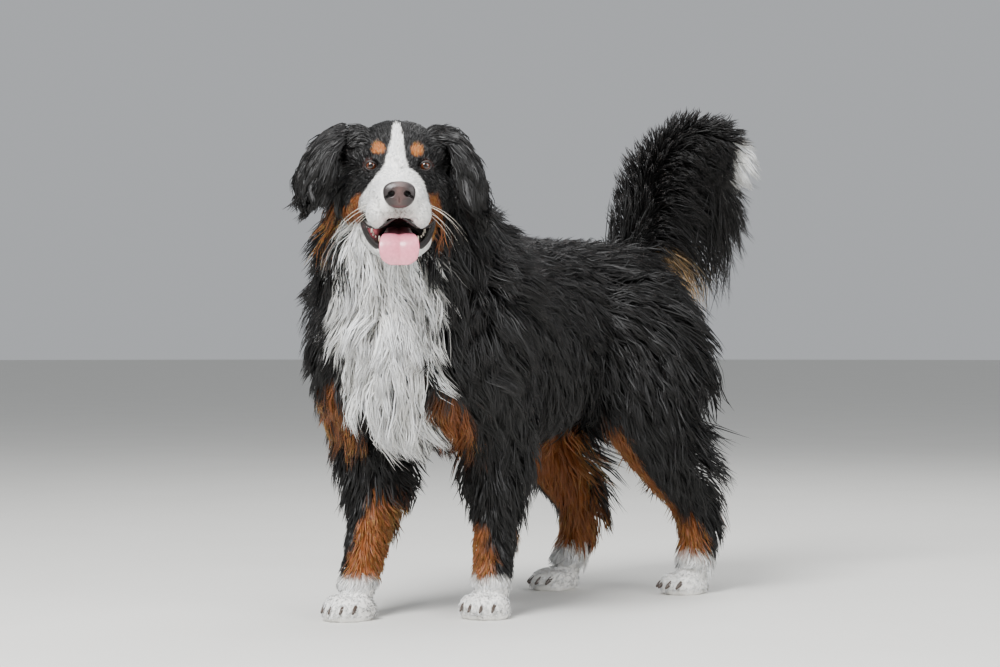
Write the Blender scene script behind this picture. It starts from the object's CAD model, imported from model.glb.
"""A standing Bernese mountain dog at life size, dressed: its skin, coat, eyes, nose, mouth and claws.

The dog is laid out straight and square, facing -Y, with its left side at +X, and the head in a frame of
its own. Every piece is then carried to where the dog stands, so the coat grows along a plain body.
Metres, +Z up, the floor at z = 0.
"""

import math

import bmesh
import bpy
import numpy as np
from bpy.props import FloatProperty, FloatVectorProperty, PointerProperty
from mathutils import Matrix, Vector
from mathutils.bvhtree import BVHTree
from mathutils.kdtree import KDTree


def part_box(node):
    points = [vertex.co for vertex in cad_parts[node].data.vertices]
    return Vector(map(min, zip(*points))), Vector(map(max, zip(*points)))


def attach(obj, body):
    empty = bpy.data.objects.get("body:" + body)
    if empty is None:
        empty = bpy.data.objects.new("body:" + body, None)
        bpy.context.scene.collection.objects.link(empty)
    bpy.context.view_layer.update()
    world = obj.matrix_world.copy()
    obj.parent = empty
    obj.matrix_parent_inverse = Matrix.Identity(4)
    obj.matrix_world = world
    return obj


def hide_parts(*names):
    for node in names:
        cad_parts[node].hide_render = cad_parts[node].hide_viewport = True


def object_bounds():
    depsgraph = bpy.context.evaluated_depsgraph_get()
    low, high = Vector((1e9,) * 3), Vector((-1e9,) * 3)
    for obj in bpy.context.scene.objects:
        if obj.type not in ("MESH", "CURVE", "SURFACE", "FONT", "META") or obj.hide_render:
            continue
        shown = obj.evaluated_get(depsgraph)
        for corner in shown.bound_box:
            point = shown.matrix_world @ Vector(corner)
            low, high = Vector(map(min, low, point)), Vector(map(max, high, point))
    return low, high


bl_info = {
    "name": "Standing Bernese mountain dog",
    "version": (1, 0, 0),
    "blender": (4, 5, 0),
    "location": "3D View > Sidebar > Dog",
    "description": "Builds the skin, coat, eyes, nose, mouth and claws of a standing dog over its solids",
    "category": "Object",
}

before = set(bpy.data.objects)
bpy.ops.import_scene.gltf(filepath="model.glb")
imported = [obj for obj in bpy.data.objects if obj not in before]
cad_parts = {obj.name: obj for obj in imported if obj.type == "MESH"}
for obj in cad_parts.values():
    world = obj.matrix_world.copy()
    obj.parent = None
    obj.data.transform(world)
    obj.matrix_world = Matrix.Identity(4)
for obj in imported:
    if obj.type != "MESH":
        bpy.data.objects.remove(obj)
CAD_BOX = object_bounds()

# Driving sizes of the skin, under the coat
HEIGHT = 0.66  # at the withers
LENGTH = 0.735  # from the point of the breastbone to the point of the buttock
CHEST_WIDTH = 0.296
BREAST_Y = -0.365

# The way that the quarters face, in degrees to the dog's left of -Y, and where the spine turns
FORE_HEADING = 19.0
HIND_HEADING = -11.0
TURN_FROM, TURN_TO = -0.25, 0.22

# How far each foot stands behind and to the left of its square place, the left one first, and the
# levels that the legs swing from
SWING = {"fore": (0.050, -0.068), "hind": (0.085, -0.060)}  # left, right
SPREAD = {"fore": (0.000, -0.014), "hind": (0.000, 0.000)}
SHOULDER_LEVEL, HIP_LEVEL = 0.46, 0.56

# The head: the point between the eyes, the way it faces and how far the nose drops, in degrees
EYES_AT = Vector((0.048, -0.453, 0.755))
HEAD_HEADING = 25.5
HEAD_DROP = 3.0
EYE_SPACING = 0.086
EYE_RADIUS = 0.0125

# Each row: the place along the body as a share of LENGTH, then the top, the widest level and the
# bottom as shares of HEIGHT, and the width as a share of CHEST_WIDTH
TORSO = [
    (0.000, 0.765, 0.712, 0.667, 0.19),
    (0.027, 0.826, 0.720, 0.614, 0.47),
    (0.088, 0.909, 0.727, 0.538, 0.78),
    (0.170, 0.977, 0.735, 0.492, 0.93),
    (0.279, 1.000, 0.742, 0.473, 1.00),
    (0.415, 0.982, 0.735, 0.477, 1.03),
    (0.551, 0.970, 0.735, 0.500, 0.98),
    (0.660, 0.965, 0.750, 0.538, 0.88),
    (0.755, 0.965, 0.765, 0.576, 0.81),
    (0.837, 0.958, 0.780, 0.598, 0.82),
    (0.918, 0.927, 0.780, 0.621, 0.78),
    (0.980, 0.871, 0.765, 0.652, 0.57),
    (1.014, 0.818, 0.742, 0.682, 0.27),
]

# Limbs, neck and tail: the centre line, then half the breadth across and half the depth
NECK = [
    (0.000, -0.200, 0.520, 0.125, 0.135),
    (0.000, -0.262, 0.590, 0.112, 0.125),
    (0.004, -0.308, 0.655, 0.098, 0.110),
    (0.012, -0.340, 0.715, 0.086, 0.096),
    (0.018, -0.362, 0.765, 0.074, 0.080),
]
FORELEG = [
    (0.068, -0.165, 0.600, 0.035, 0.070),
    (0.100, -0.205, 0.530, 0.052, 0.085),
    (0.112, -0.240, 0.450, 0.052, 0.078),
    (0.115, -0.205, 0.375, 0.045, 0.058),
    (0.108, -0.188, 0.320, 0.039, 0.046),
    (0.101, -0.190, 0.240, 0.033, 0.036),
    (0.097, -0.195, 0.165, 0.028, 0.029),
    (0.096, -0.197, 0.130, 0.030, 0.030),
    (0.096, -0.205, 0.085, 0.028, 0.026),
    (0.097, -0.220, 0.045, 0.033, 0.028),
]
HINDLEG = [
    (0.075, 0.255, 0.555, 0.055, 0.085),
    (0.096, 0.248, 0.480, 0.062, 0.110),
    (0.112, 0.238, 0.400, 0.058, 0.098),
    (0.120, 0.228, 0.335, 0.048, 0.062),
    (0.118, 0.262, 0.270, 0.038, 0.048),
    (0.110, 0.312, 0.210, 0.028, 0.036),
    (0.105, 0.345, 0.172, 0.024, 0.034),
    (0.104, 0.352, 0.125, 0.023, 0.025),
    (0.104, 0.346, 0.080, 0.023, 0.023),
    (0.105, 0.330, 0.045, 0.030, 0.026),
]
TAIL = [
    (0.000, 0.310, 0.575, 0.045, 0.045),
    (0.000, 0.352, 0.630, 0.034, 0.036),
    (0.002, 0.378, 0.700, 0.026, 0.028),
    (0.010, 0.388, 0.765, 0.021, 0.022),
    (0.028, 0.404, 0.826, 0.017, 0.018),
    (0.052, 0.440, 0.860, 0.014, 0.014),
    (0.075, 0.482, 0.862, 0.011, 0.011),
    (0.092, 0.515, 0.842, 0.007, 0.007),
]

# Paws: the heel of the pad, half the breadth, the length to the toe tips and the height of the knuckles
FORE_PAW = (Vector((0.097, -0.200, 0.0)), 0.039, 0.098, 0.050)
HIND_PAW = (Vector((0.105, 0.345, 0.0)), 0.036, 0.092, 0.046)
TOE_PLACES = (-0.72, -0.26, 0.26, 0.72)  # shares of half the breadth
TOE_REACH = (0.55, 0.66, 0.66, 0.55)  # the middle of each toe, a share of the length from the heel
SUNK = 0.004  # how far the pads go into the floor before it cuts them flat

# The tail's coat: the centre line, then half the breadth and the depth of hair on the inside and the
# outside of its curve
PLUME = [
    (0.000, 0.330, 0.560, 0.045, 0.050, 0.040),
    (0.000, 0.352, 0.630, 0.050, 0.070, 0.045),
    (0.002, 0.378, 0.700, 0.055, 0.090, 0.060),
    (0.010, 0.388, 0.765, 0.056, 0.090, 0.064),
    (0.028, 0.404, 0.826, 0.054, 0.085, 0.054),
    (0.052, 0.440, 0.858, 0.046, 0.080, 0.042),
    (0.075, 0.482, 0.856, 0.036, 0.070, 0.030),
    (0.098, 0.530, 0.830, 0.020, 0.045, 0.016),
    (0.112, 0.575, 0.806, 0.008, 0.012, 0.006),
]
# Where the fringe hangs from it: centres and radii
FRINGE = [
    (Vector((0.034, 0.482, 0.755)), (0.044, 0.105, 0.105)),
    (Vector((0.028, 0.470, 0.680)), (0.040, 0.095, 0.095)),
    (Vector((0.015, 0.425, 0.600)), (0.035, 0.065, 0.075)),
]

# The head from here on is in its own frame: the middle of the eyes at 0, the nose towards -Y, its left
# at +X. Each row: y, then the top, the widest level and the bottom of a section, and half its breadth
SKULL = [
    (-0.108, -0.036, -0.055, -0.072, 0.018),
    (-0.100, -0.030, -0.060, -0.083, 0.032),
    (-0.085, -0.026, -0.064, -0.088, 0.040),
    (-0.065, -0.021, -0.066, -0.090, 0.0445),
    (-0.045, -0.014, -0.064, -0.090, 0.047),
    (-0.025, 0.000, -0.058, -0.090, 0.053),
    (-0.010, 0.022, -0.045, -0.090, 0.061),
    (0.010, 0.047, -0.035, -0.092, 0.068),
    (0.035, 0.065, -0.025, -0.096, 0.073),
    (0.065, 0.074, -0.015, -0.096, 0.076),
    (0.095, 0.073, -0.005, -0.090, 0.074),
    (0.125, 0.060, 0.000, -0.070, 0.062),
    (0.150, 0.036, 0.000, -0.040, 0.040),
]
JAW = [
    (-0.090, -0.126, -0.133, -0.139, 0.014),
    (-0.082, -0.120, -0.133, -0.146, 0.028),
    (-0.060, -0.113, -0.130, -0.150, 0.040),
    (-0.030, -0.102, -0.122, -0.149, 0.049),
    (0.000, -0.088, -0.112, -0.143, 0.055),
    (0.035, -0.070, -0.100, -0.136, 0.058),
    (0.070, -0.050, -0.085, -0.124, 0.056),
    (0.105, -0.040, -0.070, -0.105, 0.045),
]
# Soft forms added to both sides: the centre, the radii
SOFT_FORMS = [
    (Vector((0.031, -0.064, -0.075)), (0.021, 0.036, 0.026)),  # flew
    (Vector((0.034, 0.008, 0.022)), (0.020, 0.015, 0.012)),  # brow
    (Vector((0.056, 0.042, -0.044)), (0.030, 0.052, 0.042)),  # cheek
    (Vector((0.062, 0.060, 0.022)), (0.027, 0.042, 0.044)),  # root of the ear
]
# Where the head meets the neck, from the throat up to the nape, and the way that the plane faces
NECK_LINE = (Vector((0, -0.020, -0.155)), Vector((0, 0.697, -0.717)))
NOSE = [
    (-0.094, -0.030, -0.043, -0.064, 0.019),
    (-0.103, -0.026, -0.042, -0.068, 0.0245),
    (-0.111, -0.0255, -0.042, -0.0675, 0.0258),
    (-0.117, -0.028, -0.043, -0.064, 0.0240),
    (-0.1205, -0.034, -0.044, -0.057, 0.0165),
]
# The tongue: its middle line, half its breadth and half its thickness
TONGUE = [
    (0.0, 0.000, -0.100, 0.018, 0.0060),
    (0.0, -0.030, -0.107, 0.021, 0.0060),
    (0.0, -0.060, -0.112, 0.024, 0.0055),
    (0.0, -0.085, -0.1135, 0.027, 0.0050),
    (0.0, -0.101, -0.121, 0.031, 0.0045),
    (0.0, -0.107, -0.136, 0.0315, 0.0045),
    (0.0, -0.109, -0.149, 0.027, 0.0042),
    (0.0, -0.1085, -0.157, 0.015, 0.0035),
]
# An ear flap from its root to its tip: x, y and z of its front edge, then of its rear edge, and its cup
EAR_RIGHT = [
    (0.066, 0.030, 0.034, 0.050, 0.086, 0.068, 0.002),
    (0.084, 0.018, 0.036, 0.086, 0.084, 0.076, 0.007),
    (0.092, 0.010, 0.014, 0.122, 0.070, 0.052, 0.014),
    (0.094, 0.008, -0.010, 0.149, 0.054, 0.018, 0.018),
    (0.099, 0.011, -0.034, 0.163, 0.045, -0.014, 0.017),
    (0.113, 0.018, -0.052, 0.159, 0.040, -0.040, 0.011),
    (0.132, 0.026, -0.060, 0.147, 0.034, -0.057, 0.003),
]
EAR_LEFT = [
    (0.066, 0.030, 0.034, 0.050, 0.086, 0.066, 0.002),
    (0.081, 0.018, 0.030, 0.083, 0.084, 0.070, 0.007),
    (0.086, 0.010, 0.006, 0.111, 0.070, 0.042, 0.014),
    (0.088, 0.008, -0.020, 0.131, 0.054, 0.008, 0.018),
    (0.093, 0.011, -0.046, 0.143, 0.045, -0.027, 0.016),
    (0.105, 0.018, -0.065, 0.145, 0.039, -0.055, 0.010),
    (0.122, 0.026, -0.074, 0.136, 0.033, -0.071, 0.003),
]
EAR_THICKNESS = 0.006

CLAW = (0.0042, 0.020)  # radius and length
# The white of the face from the crown down: the level, the middle and half the breadth
BLAZE = [
    (-0.100, -0.004, 0.056), (-0.083, -0.0048, 0.056), (-0.065, -0.006, 0.0568), (-0.047, -0.006, 0.052),
    (-0.0295, -0.0024, 0.0427), (-0.015, -0.0014, 0.033), (-0.0043, -0.004, 0.0217), (0.006, -0.004, 0.016),
    (0.024, -0.0023, 0.0125), (0.042, -0.0019, 0.0096), (0.0707, -0.0014, 0.0045),
]
# The rust of each cheek, right and left: its inner and its outer edge at these levels
CHEEK_LEVELS = (-0.165, -0.13, -0.11, -0.09, -0.07, -0.048)
CHEEK_RUST = (
    (-1, (0.070, 0.068, 0.066, 0.060, 0.056, 0.058), (0.082, 0.090, 0.094, 0.090, 0.083, 0.068)),
    (1, (0.034, 0.034, 0.038, 0.044, 0.048, 0.048), (0.062, 0.068, 0.072, 0.073, 0.070, 0.064)),
)
BROW_SPOTS = ((-0.0314, 0.0283), (0.031, 0.026))
# The lips: x, y, z, half breadth and half depth, from the corner of the mouth to the middle
LOWER_LIP = [
    (0.0585, 0.004, -0.087, 0.0030, 0.0030),
    (0.0560, -0.014, -0.097, 0.0040, 0.0050),
    (0.0510, -0.032, -0.109, 0.0042, 0.0062),
    (0.0440, -0.050, -0.120, 0.0042, 0.0066),
    (0.0330, -0.068, -0.129, 0.0040, 0.0058),
    (0.0180, -0.081, -0.133, 0.0038, 0.0048),
    (0.0000, -0.086, -0.134, 0.0036, 0.0042),
]
UPPER_LIP = [
    (0.0585, 0.004, -0.087, 0.0020, 0.0020),
    (0.0540, -0.020, -0.092, 0.0022, 0.0022),
    (0.0470, -0.045, -0.097, 0.0022, 0.0022),
    (0.0360, -0.068, -0.099, 0.0022, 0.0022),
    (0.0240, -0.086, -0.095, 0.0022, 0.0022),
    (0.0110, -0.096, -0.086, 0.0022, 0.0022),
    (0.0000, -0.099, -0.080, 0.0020, 0.0020),
]
# The upper and lower edges of the bare skin of the lips, below the eyes, at places aside from the middle
LIP_BAND = (
    (0.000, 0.012, 0.024, 0.036, 0.047, 0.054, 0.0585),
    (0.080, 0.087, 0.096, 0.100, 0.097, 0.091, 0.085),
    (0.139, 0.138, 0.136, 0.131, 0.121, 0.106, 0.090),
)
# Lower teeth of one side: x, y, z, radius and length
LOWER_TEETH = [
    (0.0300, -0.060, -0.124, 0.0030, 0.0150),
    (0.0035, -0.074, -0.126, 0.0018, 0.0060),
    (0.0090, -0.073, -0.126, 0.0019, 0.0065),
    (0.0150, -0.070, -0.126, 0.0020, 0.0070),
    (0.0360, -0.042, -0.116, 0.0022, 0.0060),
    (0.0395, -0.032, -0.112, 0.0026, 0.0070),
    (0.0420, -0.021, -0.107, 0.0030, 0.0080),
]
# Whiskers of one side: the root's x, y and z, how much each points out, down and back, its length
WHISKERS = [
    (0.047, -0.062, -0.058, 0.9, 0.25, 0.35, 0.075), (0.045, -0.066, -0.066, 0.9, 0.35, 0.30, 0.080),
    (0.049, -0.052, -0.068, 0.9, 0.30, 0.45, 0.085), (0.044, -0.068, -0.075, 0.9, 0.45, 0.25, 0.065),
    (0.050, -0.045, -0.060, 0.9, 0.20, 0.50, 0.080), (0.048, -0.054, -0.078, 0.8, 0.55, 0.35, 0.070),
    (0.051, -0.038, -0.072, 0.8, 0.40, 0.60, 0.060),
    (0.026, -0.080, -0.140, 0.5, 0.9, 0.0, 0.035),
]
HAIR_SHAPE = ((0.0, 0.25, 0.7, 1.0), (0.75, 1.0, 0.80, 0.25))  # places along a strand, and its breadth there
HAIR_SHARE = 1.0  # how much of the coat is grown
# The hair of the ears, named as grow_strands names it
EAR_HAIR = {
    "length": 0.060, "height": 0.006, "free": 0.75, "fall": 0.50, "wave": 0.55,
    "turns": 1.5, "clump": 0.62, "frizz": 0.0010, "stray": 0.22,
}
TAIL_STRANDS = 9000
PLUME_SPREAD = 1.30  # how much further the tail's hair reaches aside than its solid
# Lights: aside from the dog's middle to the right, towards the camera, up, size and power
LIGHTS = [
    ("key", -1.4, 2.8, 3.0, 2.0, 390.0),
    ("fill", 3.0, 2.6, 1.6, 2.6, 95.0),
    ("rim", 1.6, -2.6, 2.8, 2.4, 55.0),
    ("top", 0.0, 0.2, 3.8, 3.0, 80.0),
]

# The coat
UNDER = 0.12  # how far out the skin lies, as a share of the coat's depth
SKIN_VOXEL = 0.0065
FACE_VOXEL = 0.0023
SEED = 11
SEEN_AT = 0.5  # the place along a strand where the markings are measured
SOFT_SHADE = 0.62  # how much a strand is shaded with the surface that it lies on
PATCH = 0.003  # a tuft's place on the coat's UV map
MIDDLE_SHARE = 0.62  # of a strand's breadth that its ridge stands up

# The camera: the way it looks, in degrees from +Y towards -X, its lens, and where it stands from the eyes
VIEW_TURN = 41.0
LENS = 85.0
CAMERA_BACK, CAMERA_ASIDE, CAMERA_LEVEL = 3.81, 0.1645, 0.485

MADE = {}  # what one operator leaves for the next


def linear(code):
    """An sRGB hex code as red, green and blue in linear light."""
    values = [int(code[i : i + 2], 16) / 255 for i in (0, 2, 4)]
    return tuple(v / 12.92 if v <= 0.04045 else ((v + 0.055) / 1.055) ** 2.4 for v in values)


BLACK_HAIR, WHITE_HAIR = linear("060505"), linear("faf8f3")
RUST_HAIR, CREAM_HAIR, BROW_HAIR = linear("7e431b"), linear("c9a271"), linear("96531f")
LIP_SKIN, GUM_SKIN, DARK_SKIN = linear("16110f"), linear("a8545c"), linear("2a1a18")


def smooth_rows(rows, steps):
    """The rows with more set between them on a Catmull-Rom curve."""
    rows = np.array(rows, float)
    ends = np.vstack([2 * rows[0] - rows[1], rows, 2 * rows[-1] - rows[-2]])
    finer = []
    for a, b, c, d in zip(ends, ends[1:], ends[2:], ends[3:]):
        square, cube = 2 * a - 5 * b + 4 * c - d, 3 * b - a - 3 * c + d
        for t in np.arange(steps) / steps:
            finer.append(0.5 * (2 * b + (c - a) * t + square * t**2 + cube * t**3))
    return np.array(finer + [rows[-1]])


def ring(centre, side, rise, half_side, half_top, half_bottom, count, power=2.0):
    """Points round a section whose top and bottom halves may differ. A power over 2 squares it."""
    points = []
    for i in range(count):
        angle = 2 * math.pi * i / count
        across, along = math.sin(angle), math.cos(angle)
        across = math.copysign(abs(across) ** (2 / power), across)
        along = math.copysign(abs(along) ** (2 / power), along)
        half = half_top if along > 0 else half_bottom
        points.append(centre + side * (half_side * across) + rise * (half * along))
    return points


def mesh_object(name, bm):
    mesh = bpy.data.meshes.new(name)
    bm.to_mesh(mesh)
    bm.free()
    thing = bpy.data.objects.new(name, mesh)
    bpy.context.scene.collection.objects.link(thing)
    return thing


def add_loft(bm, rings):
    """A closed skin over rings of the same count."""
    verts = [[bm.verts.new(p) for p in points] for points in rings]
    count = len(rings[0])
    for near, far in zip(verts, verts[1:]):
        for i in range(count):
            j = (i + 1) % count
            bm.faces.new((near[i], near[j], far[j], far[i]))
    bm.faces.new(verts[0])
    bm.faces.new(verts[-1])


def upright_ring(centre, half, over, under, sides, power):
    """A section across the Y axis, half as broad, and as high over and under its centre, as given."""
    return ring(centre, Vector((1, 0, 0)), Vector((0, 0, 1)), half, over, under, sides, power)


def add_torso(bm, sides=28, steps=3):
    rings = []
    for along, top, level, bottom, width in smooth_rows(TORSO, steps):
        centre = Vector((0, BREAST_Y + along * LENGTH, level * HEIGHT))
        over, under = (top - level) * HEIGHT, (level - bottom) * HEIGHT
        rings.append(upright_ring(centre, width * CHEST_WIDTH / 2, over, under, sides, 2.2))
    add_loft(bm, rings)


def add_limb(bm, rows, mirror=1, sides=16, steps=3):
    """A bent tube whose breadth is measured across the body and its depth along it."""
    rows = smooth_rows(rows, steps)
    centres = [Vector((mirror * r[0], r[1], r[2])) for r in rows]
    rings = []
    for i, row in enumerate(rows):
        along = (centres[min(i + 1, len(rows) - 1)] - centres[max(i - 1, 0)]).normalized()
        side = (Vector((1, 0, 0)) - along * along.x).normalized()
        rings.append(ring(centres[i], side, along.cross(side), row[3], row[4], row[-1], sides))
    add_loft(bm, rings)


def add_ball(bm, centre, radii, turn=None, segments=16):
    """An ellipsoid. turn is a rotation matrix, or none."""
    matrix = Matrix.Translation(centre) @ (turn or Matrix.Identity(4)) @ Matrix.Diagonal((*radii, 1))
    bmesh.ops.create_uvsphere(bm, u_segments=segments, v_segments=segments // 2, radius=1, matrix=matrix)


def add_paw(bm, paw, mirror=1):
    """A pad and four toes, a little into the floor, which is cut off later."""
    heel, half, length, height = paw
    centre = Vector((mirror * heel.x, heel.y, 0))
    sunk = Vector((0, 0, -SUNK))
    pad = centre + Vector((0, -0.30 * length, 0.42 * height)) + sunk
    add_ball(bm, pad, (0.86 * half, 0.44 * length, 0.62 * height))
    for place, forward in zip(TOE_PLACES, TOE_REACH):
        toe = centre + Vector((place * half, -forward * length, 0.40 * height)) + sunk
        turn = Matrix.Rotation(-0.25 * place * mirror * mirror, 4, "Z")
        add_ball(bm, toe, (0.30 * half, 0.33 * length, 0.50 * height), turn)


def square_body():
    """The whole body but the head, square and straight, as overlapping closed forms."""
    bm = bmesh.new()
    add_torso(bm)
    add_limb(bm, NECK, sides=24)
    add_limb(bm, TAIL)
    for mirror in (1, -1):
        add_limb(bm, FORELEG, mirror)
        add_limb(bm, HINDLEG, mirror)
        add_paw(bm, FORE_PAW, mirror)
        add_paw(bm, HIND_PAW, mirror)
    bmesh.ops.recalc_face_normals(bm, faces=bm.faces)
    return mesh_object("body", bm)


def section_rings(rows, sides, power=2.0, steps=3):
    """Rings across the Y axis."""
    rings = []
    for y, top, level, bottom, half in smooth_rows(rows, steps):
        centre = Vector((0, y, level))
        rings.append(upright_ring(centre, half, top - level, level - bottom, sides, power))
    return rings


def head_mesh():
    """Skull, muzzle, cheeks and lower jaw as overlapping closed forms, in the head's frame."""
    bm = bmesh.new()
    add_loft(bm, section_rings(SKULL, 28, 2.3))
    add_loft(bm, section_rings(JAW, 20, 2.2))
    for centre, radii in SOFT_FORMS:
        for mirror in (1, -1):
            add_ball(bm, Vector((mirror * centre.x, centre.y, centre.z)), radii, segments=20)
    bmesh.ops.recalc_face_normals(bm, faces=bm.faces)
    return mesh_object("head", bm)


def head_depth(points, normals):
    """The depth of the coat on the head, in its own frame."""
    y, z = points[:, 1], points[:, 2]
    depth = 0.0015 + 0.007 * step_between(-0.04, 0.02, y)
    depth = depth + 0.008 * step_between(-0.01, 0.05, y) * step_between(0.02, -0.03, z) * abs(normals[:, 0])
    return depth + 0.006 * step_between(-0.02, 0.06, y) * step_between(-0.09, -0.12, z)


def nostrils():
    """Nostrils, their side slits and the groove between them, to be cut from the nose one by one."""
    forms = [(Vector((0, -0.1215, -0.058)), (0.0012, 0.0038, 0.0120), 0)]
    for mirror in (1, -1):
        forms.append((Vector((mirror * 0.0125, -0.120, -0.0455)), (0.0064, 0.0090, 0.0052), mirror))
        forms.append((Vector((mirror * 0.0195, -0.118, -0.0500)), (0.0062, 0.0065, 0.0022), mirror))
    pieces = []
    for centre, radii, mirror in forms:
        bm = bmesh.new()
        add_ball(bm, centre, radii, Matrix.Rotation(mirror * 0.5, 4, "Y"), 8)
        pieces.append(mesh_object("nostril", bm))
    return pieces


def ear_mesh(name, rows, mirror, columns=7, steps=2):
    """A cupped flap, its middle standing further out than its edges."""
    rings = []
    for row in smooth_rows(rows, steps):
        front, rear = Vector((mirror * row[0], row[1], row[2])), Vector((mirror * row[3], row[4], row[5]))
        down = Vector((mirror * 0.5, 0, -1))
        out = (rear - front).cross(down).normalized() * -mirror
        shares = [k / (columns - 1) for k in range(columns)]
        outer = [front.lerp(rear, t) + out * (4 * row[6] * t * (1 - t)) for t in shares]
        inner = [p - out * (EAR_THICKNESS * (0.4 + 2.4 * t * (1 - t))) for p, t in zip(outer, shares)]
        rings.append(outer + inner[::-1])
    bm = bmesh.new()
    add_loft(bm, rings)
    bmesh.ops.recalc_face_normals(bm, faces=bm.faces)
    return mesh_object(name, bm)


def evaluated_mesh(thing):
    return bpy.data.meshes.new_from_object(thing.evaluated_get(bpy.context.evaluated_depsgraph_get()))


def apply_modifiers(thing):
    mesh = evaluated_mesh(thing)
    thing.modifiers.clear()
    thing.data = mesh
    return thing


def fuse(thing, voxel, rounds):
    """Overlapping closed forms made one skin, with its creases softened."""
    remesh = thing.modifiers.new("fuse", "REMESH")
    remesh.mode = "VOXEL"
    remesh.voxel_size = voxel
    soften = thing.modifiers.new("soften", "SMOOTH")
    soften.factor = 0.5
    soften.iterations = rounds
    return apply_modifiers(thing)


def triangulate(thing):
    bm = bmesh.new()
    bm.from_mesh(thing.data)
    bmesh.ops.triangulate(bm, faces=bm.faces)
    bm.to_mesh(thing.data)
    bm.free()
    return thing


def step_between(low, high, value):
    """0 below low, 1 above high, and smooth between."""
    t = np.clip((value - low) / (high - low), 0, 1)
    return t * t * (3 - 2 * t)


def set_feet(points):
    """Swings each leg from its upper joint so that the feet stand as in life."""
    points = points.copy()
    x, y, z = points.T
    out = step_between(0.02, 0.07, abs(x))
    for quarter, level in (("fore", SHOULDER_LEVEL), ("hind", HIP_LEVEL)):
        near = step_between(0.02, 0.12, -y) if quarter == "fore" else step_between(0.06, 0.14, y)
        lowered = out * near * np.clip((level - z) / level, 0, 1)
        points[:, 1] += np.where(x > 0, *SWING[quarter]) * lowered
        points[:, 0] += np.where(x > 0, *SPREAD[quarter]) * lowered
    return points


def turn_spine(points):
    """Bows the straight body: a circular arc between two straight quarters."""
    first, last = math.radians(FORE_HEADING), math.radians(HIND_HEADING)
    curve = (last - first) / (TURN_TO - TURN_FROM)
    y = points[:, 1]
    inside = np.clip(y, TURN_FROM, TURN_TO) - TURN_FROM
    heading = first + curve * inside
    rest = y - TURN_FROM - inside
    middle_x = (np.cos(heading) - math.cos(first)) / curve - np.sin(heading) * rest
    middle_y = (np.sin(heading) - math.sin(first)) / curve + np.cos(heading) * rest
    return np.column_stack(
        [middle_x + np.cos(heading) * points[:, 0], middle_y + np.sin(heading) * points[:, 0], points[:, 2]]
    )


def behind_head(points):
    """How far points lie behind the plane where the head meets the neck."""
    turn = np.array(head_matrix().to_3x3())
    return behind_neck((points - np.array(EYES_AT)) @ turn)


def coat_depth(points, normals):
    """How far the coat's tips stand off the skin."""
    x, y, z = points.T
    forward, backward = np.clip(-normals[:, 1], 0, 1), np.clip(normals[:, 1], 0, 1)
    downward = np.clip(-normals[:, 2], 0, 1)
    side = abs(normals[:, 0])
    fore = step_between(0.02, -0.06, y)
    hind = step_between(0.10, 0.18, y)
    middle = step_between(-0.24, -0.10, y) * step_between(0.24, 0.10, y)
    trunk = 0.020 + 0.010 * side + 0.034 * downward * middle
    chest = 0.026 + 0.018 * forward + 0.004 * side + 0.050 * downward * step_between(0.08, 0.02, abs(x))
    neck = 0.038 + 0.030 * side + 0.014 * forward
    neck = neck + (0.030 - neck) * step_between(0.05, 0.0, behind_head(points))
    rump = 0.024 + 0.060 * backward + 0.008 * side
    depth = trunk + (chest - trunk) * step_between(-0.16, -0.26, y)
    depth = depth + (rump - depth) * hind
    depth = depth + (neck - depth) * step_between(0.44, 0.62, z) * step_between(-0.12, -0.24, y)
    elbow = step_between(0.16, 0.30, z)
    foreleg = 0.010 + 0.030 * side * elbow + 0.026 * backward * step_between(0.08, 0.24, z)
    feather = 0.030 * step_between(0.10, 0.20, z) + 0.050 * step_between(0.20, 0.32, z)
    hindleg = 0.012 + 0.006 * side + backward * feather
    leg = foreleg * fore + hindleg * (1 - fore)
    depth = depth + (leg - depth) * step_between(0.40, 0.30, z) * np.maximum(fore, hind)
    depth = depth + (0.004 - depth) * step_between(0.085, 0.045, z)
    tail = step_between(0.60, 0.68, z) * step_between(0.26, 0.32, y)
    return depth + (0.016 - depth) * tail


def mesh_arrays(mesh):
    count = len(mesh.vertices)
    points, normals = np.empty(count * 3, np.float32), np.empty(count * 3, np.float32)
    mesh.vertices.foreach_get("co", points)
    mesh.vertices.foreach_get("normal", normals)
    return points.reshape(-1, 3).astype(float), normals.reshape(-1, 3).astype(float)


def set_points(mesh, points):
    mesh.vertices.foreach_set("co", points.astype(np.float32).ravel())
    mesh.update()


def head_matrix():
    turn = Matrix.Rotation(math.radians(HEAD_HEADING), 4, "Z")
    return Matrix.Translation(EYES_AT) @ turn @ Matrix.Rotation(math.radians(HEAD_DROP), 4, "X")


def rigid_stand(at):
    """The turn and shift that stand gives to the middle of the spine beside a point, as one matrix."""
    probe = np.array([(at.x, at.y, at.z), (at.x, at.y - 0.01, at.z), (at.x + 0.01, at.y, at.z)])
    spot, ahead, aside = [Vector(p) for p in turn_spine(probe)]
    back = (spot - ahead).normalized()
    left = (aside - spot).normalized()
    turn = Matrix((left, back, Vector((0, 0, 1)))).transposed().to_4x4()
    return Matrix.Translation(spot) @ turn @ Matrix.Translation(-at)


def boolean(thing, operation, other):
    triangulate(thing)
    triangulate(other)
    cut = thing.modifiers.new("cut", "BOOLEAN")
    cut.operation = operation
    cut.solver = "MANIFOLD"
    cut.object = other
    return apply_modifiers(thing)


def cut_away(thing, *others):
    """Removes each of the others from the piece, and the others from the scene."""
    for other in others:
        boolean(thing, "DIFFERENCE", other)
        bpy.data.objects.remove(other)
    return thing


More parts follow.
